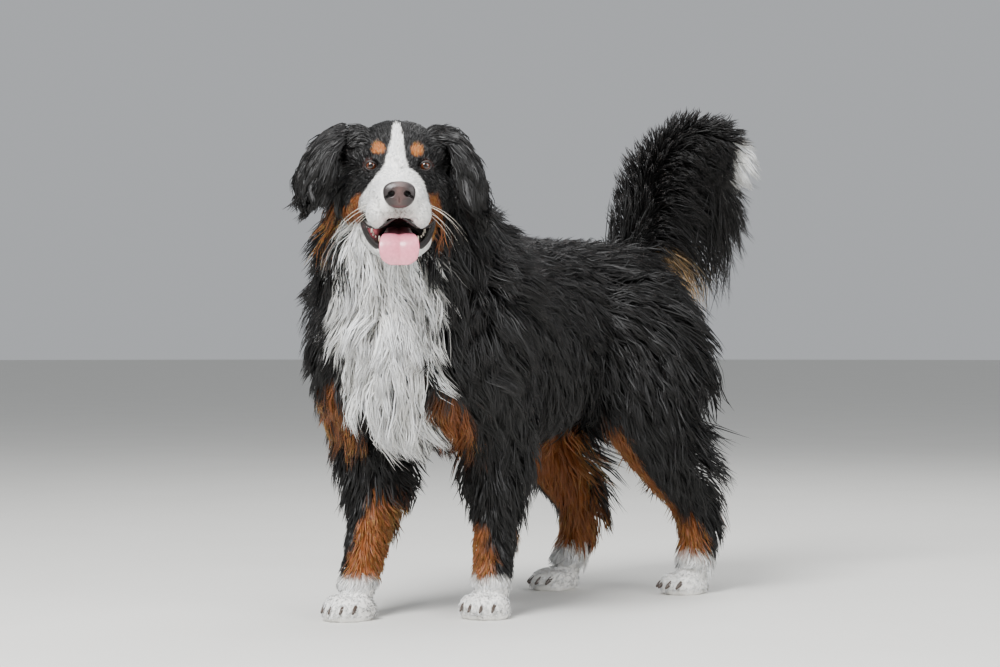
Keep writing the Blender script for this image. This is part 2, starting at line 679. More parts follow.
def keep_largest(thing):
    if not thing.data.polygons:
        return thing
    bm = bmesh.new()
    bm.from_mesh(thing.data)
    left = set(bm.faces)
    shells = []
    while left:
        seed = left.pop()
        shell, edge_of = {seed}, [seed]
        while edge_of:
            for edge in edge_of.pop().edges:
                for face in edge.link_faces:
                    if face in left:
                        left.remove(face)
                        shell.add(face)
                        edge_of.append(face)
        shells.append(shell)
    largest = max(shells, key=lambda shell: sum(face.calc_area() for face in shell))
    spare = [face for face in bm.faces if face not in largest]
    bmesh.ops.delete(bm, geom=spare, context="FACES")
    loose = [vert for vert in bm.verts if not vert.link_faces]
    bmesh.ops.delete(bm, geom=loose, context="VERTS")
    bm.to_mesh(thing.data)
    bm.free()
    return thing


def unit_rows(rows):
    return rows / np.maximum(np.linalg.norm(rows, axis=-1, keepdims=True), 1e-9)


def dots(a, b):
    return np.sum(a * b, axis=-1, keepdims=True)


def wobble(points, size, seed=0.0):
    """A smooth uneven value from -1 to 1 over space, its waves about size across."""
    x, y, z = (points / size * 2.1).T
    first = np.sin(x + 1.7 * np.sin(0.8 * y + seed)) * np.cos(1.1 * z + seed)
    second = np.sin(1.9 * y + 1.3 * np.sin(1.3 * z - seed) + 2 * seed) * np.cos(1.6 * x - seed)
    return (first + second) / 2


def tree_of(thing):
    return BVHTree.FromObject(thing, bpy.context.evaluated_depsgraph_get())


def nearest_rows(tree, points):
    """The closest place of a surface to each point and the way it faces."""
    found = [tree.find_nearest(point) for point in points.tolist()]
    return np.array([spot[0][:] for spot in found]), np.array([spot[1][:] for spot in found])


def scatter(mesh, count, rng):
    """Places spread over a mesh by area, and the way each faces."""
    mesh.calc_loop_triangles()
    corners = np.empty(len(mesh.loop_triangles) * 3, np.int32)
    mesh.loop_triangles.foreach_get("vertices", corners)
    corners = corners.reshape(-1, 3)
    points, normals = mesh_arrays(mesh)
    a, b, c = (points[corners[:, k]] for k in range(3))
    areas = np.linalg.norm(np.cross(b - a, c - a), axis=1) / 2
    pick = rng.choice(len(areas), count, p=areas / areas.sum())
    u, v = rng.random(count), rng.random(count)
    over = u + v > 1
    u, v = np.where(over, 1 - u, u), np.where(over, 1 - v, v)
    shares = np.column_stack([1 - u - v, u, v])[:, :, None]
    spots = (points[corners[pick]] * shares).sum(axis=1)
    return spots, unit_rows((normals[corners[pick]] * shares).sum(axis=1)), areas.sum()


def sow(mesh, density, rng, most):
    """Roots over a mesh, as many to the square metre as density says, most at the densest."""
    area = sum(face.area for face in mesh.polygons)
    spots, faces, _ = scatter(mesh, int(area * most), rng)
    keep = rng.random(len(spots)) * most < density(spots, faces)
    return spots[keep], faces[keep]


def tend(roots, spacing, rng):
    """Picks some roots to lead the rest, and gives each root its leader."""
    chance = 1 / (spacing**2 * 0.8)
    share = np.empty(len(roots))
    tree = KDTree(len(roots))
    for i, root in enumerate(roots.tolist()):
        tree.insert(root, i)
    tree.balance()
    for i, root in enumerate(roots.tolist()):
        share[i] = len(tree.find_n(root, 8)) / (math.pi * max(tree.find_n(root, 8)[-1][2], 1e-4) ** 2)
    leads = np.flatnonzero(rng.random(len(roots)) < chance / share)
    few = KDTree(len(leads))
    for i in leads:
        few.insert(roots[i].tolist(), int(i))
    few.balance()
    return np.array([few.find(root)[1] for root in roots.tolist()])


def grow_strands(tree, roots, faces, lie, coat, rng, steps):
    """Paths of hairs over a surface and the way each place faces.

    coat holds a row of each for every root: length, height of the tips, how much hangs free, fall, wave,
    its turns, clump, frizz, stray and leader.
    """
    lead = coat["lead"]
    phase = rng.uniform(0, 2 * math.pi, len(roots))[lead] + rng.normal(0, 0.35, len(roots))
    together, alone = rng.normal(0, 1, len(roots))[lead], rng.normal(0, 0.3, len(roots))
    drift = (together * coat["stray"] + alone * coat["stray"])[:, None]
    lift = coat["height"] * rng.uniform(0.78, 1.12, len(roots))[lead] * rng.uniform(0.55, 1.05, len(roots))
    spot, near, facing = roots.copy(), roots, faces
    heading = lie(roots, faces)
    places, looks = [roots - faces * 0.002], [faces]
    pace = (coat["length"] / steps)[:, None]
    for k in range(1, steps + 1):
        t = k / steps
        wish = lie(near, facing)
        side = np.cross(facing, wish)
        sway = side * (coat["wave"] * np.sin(phase + 2 * math.pi * coat["turns"] * t))[:, None]
        heading = heading * 0.5 + wish + sway + side * drift
        heading[:, 2] -= coat["fall"] * t
        heading = unit_rows(heading)
        spot = spot + heading * pace
        near, facing = nearest_rows(tree, spot)
        least = lift * t**0.7
        height = dots(spot - near, facing)[:, 0]
        held = (height < least) | (t <= 1 - coat["free"])
        spot = np.where(held[:, None], near + facing * least[:, None], spot)
        places.append(spot)
        looks.append(facing)
    places, looks = np.stack(places, 1), np.stack(looks, 1)
    reach = np.linspace(0, 1, steps + 1)
    pull = coat["clump"][:, None, None] * (reach**1.5)[None, :, None]
    places = places + pull * (places[lead] - places)
    frizz = rng.normal(0, 1, places.shape) * coat["frizz"][:, None, None] * reach[None, :, None]
    # within a lock the sides face outwards, so that light shapes the lock
    bulge = places - places[lead]
    bulge = bulge / np.maximum(np.linalg.norm(bulge, axis=2, keepdims=True), 0.004)
    tilt = rng.normal(0, 0.25, (len(roots), 1, 3))[lead]
    return places + frizz, unit_rows(looks + 0.8 * bulge + tilt + rng.normal(0, 0.12, (len(roots), 1, 3)))


def ribbon_corners(places, looks, breadth, shape):
    """The corners of flat, pointed hairs: three to a ring, with a low ridge outside, and one at the tip."""
    rings = places.shape[1] - 1
    ahead = np.concatenate([places[:, 1:2], places[:, 2:]], 1)
    behind = np.concatenate([places[:, :1], places[:, : rings - 1]], 1)
    along = unit_rows(ahead - behind)
    side = unit_rows(np.cross(along, looks[:, :rings]))
    rise = np.cross(side, along)
    half = (breadth[:, None] * np.interp(np.arange(rings) / rings, *shape) / 2)[:, :, None]
    thick = half * 2 * MIDDLE_SHARE
    low = places[:, :rings] - rise * thick * 0.4
    corners = np.stack([low + side * half, places[:, :rings] + rise * thick * 0.6, low - side * half], 2)
    return np.concatenate([corners.reshape(len(places), -1, 3), places[:, rings:]], 1)


def strand_faces(rings):
    """The corners of one strand's faces, outwards, and how many each face has."""
    faces = [(0, 1, 2)]
    for k in range(rings - 1):
        for i in range(3):
            j = (i + 1) % 3
            faces.append((3 * k + i, 3 * k + 3 + i, 3 * k + 3 + j, 3 * k + j))
    tip, last = 3 * rings, 3 * rings - 3
    faces += [(last + i, tip, last + (i + 1) % 3) for i in range(3)]
    return np.concatenate([np.array(face) for face in faces]), np.array([len(face) for face in faces])


def strands_object(name, corners, colours, places_on_map, material, soft=None):
    """One mesh of many strands, each with its own patch on the coat's map."""
    count, per = corners.shape[:2]
    rings = (per - 1) // 3
    loops, sizes = strand_faces(rings)
    all_loops = (loops[None, :] + per * np.arange(count)[:, None]).ravel()
    starts = np.concatenate([[0], np.cumsum(np.tile(sizes, count))[:-1]])
    mesh = bpy.data.meshes.new(name)
    mesh.vertices.add(count * per)
    mesh.vertices.foreach_set("co", corners.astype(np.float32).ravel())
    mesh.loops.add(len(all_loops))
    mesh.loops.foreach_set("vertex_index", all_loops.astype(np.int32))
    mesh.polygons.add(len(starts))
    mesh.polygons.foreach_set("loop_start", starts.astype(np.int32))
    mesh.update(calc_edges=True)
    mesh.shade_smooth()
    tone = mesh.color_attributes.new(name="coat", type="FLOAT_COLOR", domain="POINT")
    tone.data.foreach_set("color", colours.astype(np.float32).ravel())
    across = np.append(np.tile([-0.4, 0.0, 0.4], rings), 0.0) * PATCH
    onward = np.append(np.repeat(np.arange(rings) / rings - 0.5, 3), 0.5) * PATCH
    spots = places_on_map[:, None, :] + np.column_stack([across, onward])[None]
    layer = mesh.uv_layers.new(name="OFBake")
    layer.data.foreach_set("uv", spots.reshape(-1, 2)[all_loops].astype(np.float32).ravel())
    mesh.materials.append(material)
    if soft is not None:
        _, own = mesh_arrays(mesh)
        rows = np.concatenate([np.repeat(soft[:, :rings], 3, axis=1), soft[:, rings:]], 1).reshape(-1, 3)
        mixed = unit_rows(own * (1 - SOFT_SHADE) + rows * SOFT_SHADE)
        mesh.normals_split_custom_set_from_vertices(mixed.astype(np.float32).tolist())
    thing = bpy.data.objects.new(name, mesh)
    bpy.context.scene.collection.objects.link(thing)
    return thing


def turned(places, looks, carry):
    """The way that looks point once carry has moved their places."""
    return unit_rows(carry(places + looks * 0.001) - carry(places))


def tint(roots_colour, lead, rings, rng):
    """Colours of the corners of strands: a little apart from strand to strand, and paler towards the tips."""
    count = len(roots_colour)
    own = np.exp(rng.normal(0, 0.05, count) + rng.normal(0, 0.06, count)[lead])
    reach = np.append(np.repeat(np.arange(rings) / rings, 3), 1.0)
    rise = 0.86 + 0.22 * reach
    colour = roots_colour[:, None, :] * own[:, None, None] * rise[None, :, None]
    colour = np.clip(colour, 0, 0.92)
    return np.concatenate([colour, np.ones(colour.shape[:2] + (1,))], 2)


def mix_rows(base, other, share):
    return base + (np.array(other) - base) * np.clip(share, 0, 1)[:, None]


def body_colour(points, normals):
    """The coat's colour at places on the straight body."""
    x, y, z = points.T
    aside = abs(x)
    uneven = 0.010 * wobble(points, 0.06, 1.0) + 0.005 * wobble(points, 0.02, 2.0)
    colour = np.tile(BLACK_HAIR, (len(points), 1))
    fore, hind = y < 0.05, y > 0.05
    inward = -normals[:, 0] * np.sign(x)
    # rust on the lower legs, inside and in front
    leg = 0.094
    from_z = np.where(x > 0, 0.150, 0.205)
    fore_rust = step_between(0.010, -0.010, z + uneven - from_z)
    fore_rust = fore_rust * step_between(0.004, -0.006, aside + uneven - leg)
    fore_rust = np.maximum(fore_rust, step_between(0.125, 0.105, z) * step_between(0.55, 0.2, -inward))
    facing = inward - 0.9 * normals[:, 1]
    hind_rust = step_between(0.330, 0.305, z + uneven) * step_between(0.30, 0.55, facing)
    hind_rust = hind_rust * step_between(0.33, 0.29, y - 0.5 * inward * 0.1)
    hind_rust = np.maximum(hind_rust, step_between(0.165, 0.13, z) * step_between(-0.75, -0.25, facing))
    colour = mix_rows(colour, RUST_HAIR, fore_rust * fore + hind_rust * hind)
    # a rust patch on each side of the chest
    for middle, half, level, tall in ((-0.116, 0.026, 0.356, 0.034), (0.068, 0.020, 0.335, 0.046)):
        patch = np.exp(-(((x + 0.6 * uneven - middle) / half) ** 4) - ((z + uneven - level) / tall) ** 4)
        colour = mix_rows(colour, RUST_HAIR, 1.4 * patch * (y < -0.20))
    level = step_between(0.60, 0.57, z) * step_between(0.50, 0.53, z)
    under_tail = step_between(0.30, 0.33, y) * level * step_between(0.05, 0.03, aside)
    colour = mix_rows(colour, CREAM_HAIR, under_tail)
    # rust beside the throat, white on the throat, the chest and the feet
    throat = step_between(0.632, 0.645, z + uneven) * step_between(0.700, 0.675, z)
    throat = throat * step_between(-0.355, -0.375, y)
    for middle, half in ((-0.078, 0.015), (0.092, 0.020)):
        colour = mix_rows(colour, RUST_HAIR, throat * step_between(1.2, 0.8, abs(x + uneven - middle) / half))
    level = [0.24, 0.30, 0.36, 0.42, 0.50, 0.58, 0.63, 0.66]
    right = np.interp(z, level, [-0.030, -0.045, -0.060, -0.080, -0.070, -0.060, -0.058, -0.054])
    left = np.interp(z, level, [0.004, 0.016, 0.034, 0.052, 0.064, 0.064, 0.054, 0.048])
    edge = np.maximum(x + 0.8 * uneven - left, right - x + 0.8 * uneven)
    middle_y = np.interp(z, [0.52, 0.60, 0.66, 0.72, 0.77], [-0.20, -0.27, -0.31, -0.345, -0.365])
    bib = step_between(0.008, -0.008, edge) * step_between(0.0, -0.03, y - middle_y)
    feet = step_between(0.078, 0.062, z + uneven)
    return mix_rows(colour, WHITE_HAIR, np.maximum(bib, feet))


def face_colour(points):
    """The coat's colour at places on the head, in its own frame."""
    x, y, z = points.T
    uneven = 0.0016 * wobble(points, 0.012, 1.0)
    colour = np.tile(BLACK_HAIR, (len(points), 1))
    for sign, inner, outer in CHEEK_RUST:
        middle = (np.interp(z, CHEEK_LEVELS, inner) + np.interp(z, CHEEK_LEVELS, outer)) / 2
        half = (np.interp(z, CHEEK_LEVELS, outer) - np.interp(z, CHEEK_LEVELS, inner)) / 2
        cheek = step_between(0.003, -0.003, abs(sign * x - middle) - half + 2 * uneven)
        cheek = cheek * step_between(-0.040, -0.052, z + uneven)
        colour = mix_rows(colour, RUST_HAIR, cheek * (sign * x > 0) * step_between(0.090, 0.066, y))
    for at_x, at_z in BROW_SPOTS:
        away = np.hypot((x - at_x) / 0.0100, (z - at_z) / 0.0098)
        colour = mix_rows(colour, BROW_HAIR, step_between(1.25, 0.75, away + 160 * uneven) * (y < 0.06))
    level, middle, half = np.array(BLAZE).T
    inside = abs(x - np.interp(z, level, middle)) - np.interp(z, level, half)
    blaze = step_between(0.0022, -0.0018, inside + uneven)
    back = step_between(0.012, -0.004, y) + step_between(-0.012, 0.0, z)
    blaze = blaze * np.clip(back, 0, 1) * step_between(0.078, 0.072, z) * step_between(0.055, 0.040, y)
    throat = step_between(-0.085, -0.100, z) * step_between(0.003, -0.003, x - 0.047 + 2 * uneven)
    right = np.interp(z, [-0.16, -0.10, -0.08], [0.088, 0.068, 0.058])
    throat = throat * step_between(0.003, -0.003, -x - right + 2 * uneven)
    chin = step_between(-0.10, -0.115, z) * step_between(0.0, -0.02, y)
    fleck = np.exp(-(((x - 0.0045) / 0.004) ** 2) - ((z + 0.003) / 0.0022) ** 2)
    colour = mix_rows(colour, WHITE_HAIR, np.maximum(np.maximum(blaze, throat), chin))
    colour = mix_rows(colour, BLACK_HAIR, 0.8 * fleck * (y < 0.02))
    under_nose = np.exp(-((x / 0.021) ** 2) - ((z + 0.073) / 0.012) ** 2) * (y < -0.080)
    speckle = np.clip(wobble(points, 0.0025, 3.0) * 1.5, 0, 1)
    return mix_rows(colour, linear("6f625d"), 1.3 * under_nose * (0.5 + 0.5 * speckle))


def lie_on_body(points, normals):
    """The way that the hair grows on the straight body."""
    x, y, z = points.T
    high = step_between(0.40, 0.60, z)
    front = step_between(-0.22, -0.32, y)
    rearward = (0.30 + 0.62 * high) * (1 - front) + 0.10 * front
    outward = 0.30 * front * np.tanh(x / 0.05)
    down = 0.95 - 0.62 * high * (1 - front)
    low = step_between(0.38, 0.32, z)
    rearward, down = rearward + (0.30 - rearward) * low, down + (1.0 - down) * low
    paw = step_between(0.075, 0.05, z)
    rearward, down = rearward - 1.2 * paw, down - 0.6 * paw
    grow = np.column_stack([outward, rearward, -down])
    grow = unit_rows(grow - normals * dots(grow, normals))
    turn = 0.34 * wobble(points, 0.11, 4.0) + 0.22 * wobble(points, 0.05, 5.0)
    turn = (turn * step_between(0.16, 0.34, z))[:, None]
    return unit_rows(grow + np.cross(normals, grow) * turn)


def lie_on_head(points, normals):
    """The way that the hair grows on the head: back from the nose, up the forehead, down the cheeks."""
    x, y, z = points.T
    side = np.tanh(x / 0.02)
    muzzle = step_between(-0.010, -0.040, y)[:, None]
    brow = step_between(-0.020, 0.020, z)[:, None]
    top = step_between(0.02, 0.06, y)[:, None]
    ones = np.ones(len(points))
    on_muzzle = np.column_stack([0.35 * side, 0.85 * ones, -0.35 - 0.3 * np.clip(abs(x) / 0.04, 0, 1)])
    up = np.column_stack([0.30 * side, 0.35 * ones, 0.9 * ones])
    back = np.column_stack([0.25 * side, ones, 0 * ones])
    forehead = up * (1 - top) + back * top
    cheek = np.column_stack([0.15 * side, 0.60 * ones, -0.80 * ones])
    over_ear = (step_between(0.036, 0.058, abs(x)) * step_between(0.018, 0.040, z))[:, None]
    outwards = np.column_stack([1.0 * side, 0.25 * ones, -0.55 * ones])
    grow = forehead * brow + cheek * (1 - brow)
    grow = grow + (outwards - grow) * over_ear
    grow = grow + (on_muzzle - grow) * muzzle
    chin = step_between(-0.09, -0.12, z)[:, None]
    grow = grow + (np.column_stack([0.1 * side, 0.35 * ones, -0.9 * ones]) - grow) * chin * (1 - 0.5 * muzzle)
    for mirror in (1, -1):
        away = points - np.array((mirror * EYE_SPACING / 2, 0.0, 0.0))
        near = np.exp(-((np.linalg.norm(away, axis=1) / 0.020) ** 2))[:, None]
        grow = grow + 1.3 * near * unit_rows(away)
    grow = grow - normals * dots(grow, normals)
    turn = (0.10 * wobble(points, 0.04, 6.0))[:, None]
    return unit_rows(unit_rows(grow) + np.cross(normals, unit_rows(grow)) * turn)


def body_region(points, normals):
    """Which piece of the coat each root belongs to."""
    x, y, z = points.T
    region = np.where(y > 0.16, "rump", np.where(x > 0, "flank_left", "flank_right"))
    region = np.where((z < 0.50) & (y > 0.16), "thighs", region)
    region = np.where((normals[:, 2] > 0.45) & (z > 0.56) & (y > -0.22), "back", region)
    region = np.where((y < -0.20) & (z > 0.50), np.where(x > 0, "neck_left", "neck_right"), region)
    region = np.where((y < -0.20) & (z <= 0.50) & (z > 0.28), "chest", region)
    region = np.where(z < 0.29, np.where(y < 0.05, "forelegs", "hind_legs"), region)
    return np.where(z < 0.085, "feet", region)


def map_body(points):
    """Where places of the straight body lie on the coat's map: round the spine, or round each leg."""
    x, y, z = points.T
    trunk = np.column_stack([np.arctan2(x, z - 0.52) / (2 * math.pi) + 0.5, (y + 0.46) / 1.05])
    leg = (z < 0.30) & (abs(x) > 0.02)
    quarter = (x > 0) * 1.0 + (y > 0.05) * 2.0
    middle = np.where(y > 0.05, 0.29, -0.20)
    round_leg = np.arctan2(abs(x) - 0.1, y - middle) / (2 * math.pi) + 0.5
    legs = np.column_stack([(quarter + 0.04 + 0.92 * round_leg) / 4, z / 0.34 + 0.02])
    return np.clip(np.where(leg[:, None], legs, trunk), 0.004, 0.996)


def map_head(points):
    """Where places of the head lie on the coat's map, round its own length."""
    x, y, z = points.T
    around = np.arctan2(x, z + 0.045) / (2 * math.pi) + 0.5
    return np.clip(np.column_stack([around, (y + 0.13) / 0.30]), 0.004, 0.996)


def at_head(points):
    """From the head's frame to the standing dog."""
    matrix = np.array(rigid_stand(EYES_AT) @ head_matrix())
    return points @ matrix[:3, :3].T + matrix[:3, 3]


def set_down(points):
    """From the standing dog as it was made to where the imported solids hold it."""
    return points + MADE["shift"]


def stand_rows(points):
    """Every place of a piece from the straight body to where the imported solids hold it."""
    flat = points.reshape(-1, 3)
    return set_down(turn_spine(set_feet(flat))).reshape(points.shape)


def head_rows(points):
    flat = points.reshape(-1, 3)
    return set_down(at_head(flat)).reshape(points.shape)


def find_shift():
    """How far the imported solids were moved, read from the eyes."""
    middles = []
    for name in ("eye_left", "eye_right"):
        points, _ = mesh_arrays(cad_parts[name].data)
        middles.append(points.mean(axis=0))
    own = at_head(np.array([(0.0, 0.0015, 0.0)]))[0]
    MADE["shift"] = np.mean(middles, axis=0) - own


def ride_as(thing, slot, *nodes):
    """Hands a finished piece to the frame."""
    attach(thing, "root")
    if nodes:
        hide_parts(*nodes)
    return thing


# Materials


def add_node(tree, kind, settings=None, **links):
    """Adds a node, its settings, and a value or a link for each socket, named with _ for a blank."""
    node = tree.nodes.new(kind)
    for name, value in (settings or {}).items():
        setattr(node, name, value)
    for name, value in links.items():
        numbered = name[0] == "i" and name[1:].isdigit()
        socket = node.inputs[int(name[1:]) if numbered else name.replace("_", " ")]
        if isinstance(value, bpy.types.NodeSocket):
            tree.links.new(value, socket)
        else:
            socket.default_value = value
    return node


def new_material(name):
    """A material with its shader and the object's own coordinates."""
    material = bpy.data.materials.new(name)
    material.use_nodes = True
    tree = material.node_tree
    place = add_node(tree, "ShaderNodeTexCoord").outputs["Object"]
    return material, tree, tree.nodes["Principled BSDF"], place


def set_tone(tree, shader, tone, depth):
    """The base colour: a tone made deeper or paler by a pattern."""
    settings = {"data_type": "RGBA", "blend_type": "MULTIPLY"}
    mixed = add_node(tree, "ShaderNodeMix", settings, i0=1.0, i6=tone, i7=depth)
    tree.links.new(mixed.outputs[2], shader.inputs["Base Color"])


def set_shader(shader, **values):
    for name, value in values.items():
        shader.inputs[name.replace("_", " ")].default_value = value


def hair_material(name, rough=0.48):
    """Dog hair, clean and brushed: coloured along each strand, glossy with a soft grey sheen."""
    material, tree, shader, place = new_material(name)
    tone = add_node(tree, "ShaderNodeVertexColor", {"layer_name": "coat"}).outputs["Color"]
    # strands 4 mm apart differ a little in depth of colour
    grain = add_node(tree, "ShaderNodeTexNoise", Vector=place, Scale=250.0, Detail=2.0).outputs["Fac"]
    depth = add_node(tree, "ShaderNodeMapRange", Value=grain, To_Min=0.86, To_Max=1.10).outputs["Result"]
    set_tone(tree, shader, tone, depth)
    patchy = add_node(tree, "ShaderNodeTexNoise", Vector=place, Scale=60.0, Detail=1.0).outputs["Fac"]
    gloss = add_node(tree, "ShaderNodeMapRange", Value=patchy, To_Min=rough - 0.06, To_Max=rough + 0.10)
    tree.links.new(gloss.outputs["Result"], shader.inputs["Roughness"])
    set_shader(shader, Specular_IOR_Level=0.40, IOR=1.50, Subsurface_Weight=0.35, Subsurface_Scale=0.006)
    shader.inputs["Subsurface Radius"].default_value = (1.0, 0.9, 0.8)
    return material


def skin_material():
    """The dog's skin under its coat, with short flat hair as bump."""
    material, tree, shader, place = new_material("short_hair_over_skin")
    tone = add_node(tree, "ShaderNodeVertexColor", {"layer_name": "coat"}).outputs["Color"]
    # short hairs are about 1 mm apart
    grain = add_node(tree, "ShaderNodeTexNoise", Vector=place, Scale=700.0, Detail=3.0).outputs["Fac"]
    depth = add_node(tree, "ShaderNodeMapRange", Value=grain, To_Min=0.70, To_Max=1.10).outputs["Result"]
    set_tone(tree, shader, tone, depth)
    bump = add_node(tree, "ShaderNodeBump", Strength=0.5, Distance=0.0008, Height=grain).outputs["Normal"]
    tree.links.new(bump, shader.inputs["Normal"])
    set_shader(shader, Roughness=0.65, Specular_IOR_Level=0.15)
    return material


def damp_material(name, size_mm, rough, coat, bump_depth=0.0003):
    """Damp bare skin: uneven in colour, pebbled, with a wet gloss."""
    material, tree, shader, place = new_material(name)
    cells = add_node(tree, "ShaderNodeTexVoronoi", Vector=place, Scale=1000.0 / size_mm).outputs["Distance"]
    cloud = add_node(tree, "ShaderNodeTexNoise", Vector=place, Scale=180.0, Detail=3.0).outputs["Fac"]
    tone = add_node(tree, "ShaderNodeVertexColor", {"layer_name": "coat"}).outputs["Color"]
    depth = add_node(tree, "ShaderNodeMapRange", Value=cloud, To_Min=0.75, To_Max=1.2).outputs["Result"]
    set_tone(tree, shader, tone, depth)
    bump = add_node(tree, "ShaderNodeBump", Strength=0.6, Distance=bump_depth, Height=cells).outputs["Normal"]
    tree.links.new(bump, shader.inputs["Normal"])
    set_shader(shader, Roughness=rough, Coat_Weight=coat, Coat_Roughness=0.12)
    return material


def colour_points(thing, colours):
    """Writes a colour to each point of a piece."""
    tone = thing.data.color_attributes.new(name="coat", type="FLOAT_COLOR", domain="POINT")
    four = np.column_stack([colours, np.ones(len(colours))])
    tone.data.foreach_set("color", four.astype(np.float32).ravel())


def give(thing, material):
    thing.data.materials.clear()
    thing.data.materials.append(material)
    thing.data.shade_smooth()
    return thing


def plain_material(name, colour, scale, rough):
    """Horn and bristle: streaked a little along their length, with a low gloss."""
    material, tree, shader, place = new_material(name)
    grain = add_node(tree, "ShaderNodeTexNoise", Vector=place, Scale=scale, Detail=2.0).outputs["Fac"]
    depth = add_node(tree, "ShaderNodeMapRange", Value=grain, To_Min=0.7, To_Max=1.2).outputs["Result"]
    set_tone(tree, shader, (*colour, 1), depth)
    set_shader(shader, Roughness=rough)
    return material


# The skin


def unstand(points):
    """From the standing dog back to the straight body."""
    first, last = math.radians(FORE_HEADING), math.radians(HIND_HEADING)
    curve = (last - first) / (TURN_TO - TURN_FROM)
    middle = np.array((-math.cos(first) / curve, -math.sin(first) / curve))
    away = points[:, :2] - middle
    heading = np.clip(np.arctan2(-away[:, 1], -away[:, 0]), last, first)
    along = np.column_stack([-np.sin(heading), np.cos(heading)])
    across = np.column_stack([np.cos(heading), np.sin(heading)])
    rest = away - across / curve
    x = (rest * across).sum(axis=1)
    y = TURN_FROM + (heading - first) / curve + (rest * along).sum(axis=1)
    straight = np.column_stack([x, y, points[:, 2]])
    guess = straight.copy()
    for _ in range(4):
        guess = guess + straight - set_feet(guess)
    return guess


def straight_skin():
    """The straight body's skin, with the shortest of the undercoat."""
    body = fuse(square_body(), SKIN_VOXEL, 7)
    points, normals = mesh_arrays(body.data)
    set_points(body.data, points + normals * (UNDER * coat_depth(points, normals))[:, None])
    return body


def mouth_hollow():
    bm = bmesh.new()
    add_ball(bm, Vector((0, -0.062, -0.090)), (0.029, 0.040, 0.018), segments=32)
    add_ball(bm, Vector((0, -0.050, -0.110)), (0.033, 0.046, 0.017), segments=32)
    bmesh.ops.recalc_face_normals(bm, faces=bm.faces)
    return fuse(mesh_object("hollow", bm), 0.002, 3)


def lid_opening(mirror):
    bm = bmesh.new()
    turn = Matrix.Rotation(mirror * 0.32, 4, "Z") @ Matrix.Rotation(mirror * 0.10, 4, "Y")
    add_ball(bm, Vector((mirror * EYE_SPACING / 2, -0.010, 0)), (0.0135, 0.018, 0.0100), turn, 32)
    return mesh_object("lids", bm)


def face_skin():
    """The head's skin in its own frame, with the mouth open and the eyes' sockets cut."""
    head = fuse(head_mesh(), FACE_VOXEL, 9)
    cut_away(head, mouth_hollow(), lid_opening(1), lid_opening(-1))
    for name, rows, mirror in (("ear_left", EAR_LEFT, 1), ("ear_right", EAR_RIGHT, -1)):
        ear = fuse(ear_mesh(name, rows, mirror, 13, 4), FACE_VOXEL, 2)
        boolean(head, "UNION", ear)
        bpy.data.objects.remove(ear)
    fuse(head, FACE_VOXEL, 2)
    return keep_largest(head)


def place_mesh(thing, carry):
    points, _ = mesh_arrays(thing.data)
    set_points(thing.data, carry(points))
    return thing


def make_skin():
    """Leaves the straight body and the head for the coat, and makes the one skin of them."""
    body, head = straight_skin(), face_skin()
    MADE["body"], MADE["head"] = body, head
    MADE["body_tree"], MADE["head_tree"] = tree_of(body), tree_of(head)
    skin = place_mesh(copy_of(body, "skin"), lambda p: turn_spine(set_feet(p)))
    face = place_mesh(copy_of(head, "face"), at_head)
    boolean(skin, "UNION", face)
    bpy.data.objects.remove(face)
    floor = cell_under_floor()
    boolean(skin, "DIFFERENCE", floor)
    bpy.data.objects.remove(floor)
    keep_largest(skin)
    points, normals = mesh_arrays(skin.data)
    matrix = np.array(rigid_stand(EYES_AT) @ head_matrix())
    local = (points - matrix[:3, 3]) @ matrix[:3, :3]
    straight = unstand(points)
    colour = body_colour(straight, normals)
    on_head = (np.linalg.norm(local - np.array((0, 0.02, -0.04)), axis=1) < 0.20) & (behind_neck(local) < 0)
    face_tone = inner_mouth(local, face_colour(local))
    colour = np.where(on_head[:, None], face_tone, colour)
    set_points(skin.data, set_down(points))
    colour_points(skin, colour)
    for thing in (body, head):
        bpy.context.scene.collection.objects.unlink(thing)
    return skin


def behind_neck(local):
    point, normal = NECK_LINE
    return (local - np.array(point)) @ np.array(normal)


def inner_mouth(local, colour):
    """Dark skin in the mouth and round the eyes, under the white and the black hair."""
    x, y, z = local.T
    hollow = ((x / 0.031) ** 2 + ((y + 0.056) / 0.047) ** 2 + ((z + 0.100) / 0.031) ** 2) < 1.0
    colour = mix_rows(colour, LIP_SKIN, lip_band(local))
    gum = np.exp(-(((x + 0.040) / 0.0085) ** 2) - ((z + 0.106) / 0.0075) ** 2) * step_between(0.01, 0.0, y)
    colour = mix_rows(colour, GUM_SKIN, 1.2 * gum)
    colour = mix_rows(colour, linear("2c1414"), hollow * 1.0)
    for mirror in (1, -1):
        away = np.linalg.norm(local - np.array((mirror * EYE_SPACING / 2, 0.0, 0.0)), axis=1)
        colour = mix_rows(colour, DARK_SKIN, step_between(0.0165, 0.0145, away))
    return colour


def lip_band(local):
    """1 on the bare black skin between the lips, in the head's frame."""
    x, y, z = local.T
    aside = abs(x)
    upper = -np.interp(aside, LIP_BAND[0], LIP_BAND[1])
    lower = -np.interp(aside, LIP_BAND[0], LIP_BAND[2])
    inside = step_between(0.001, -0.001, z - upper) * step_between(-0.001, 0.001, z - lower)
    return inside * step_between(0.012, 0.004, y) * step_between(0.0625, 0.0605, aside)


def cell_under_floor():
    bm = bmesh.new()
    bmesh.ops.create_cube(bm, size=4, matrix=Matrix.Translation((0, 0, -2)))
    return mesh_object("floor_block", bm)


def copy_of(thing, name):
    fresh = bpy.data.objects.new(name, thing.data.copy())
    bpy.context.scene.collection.objects.link(fresh)
    return fresh


# The coat


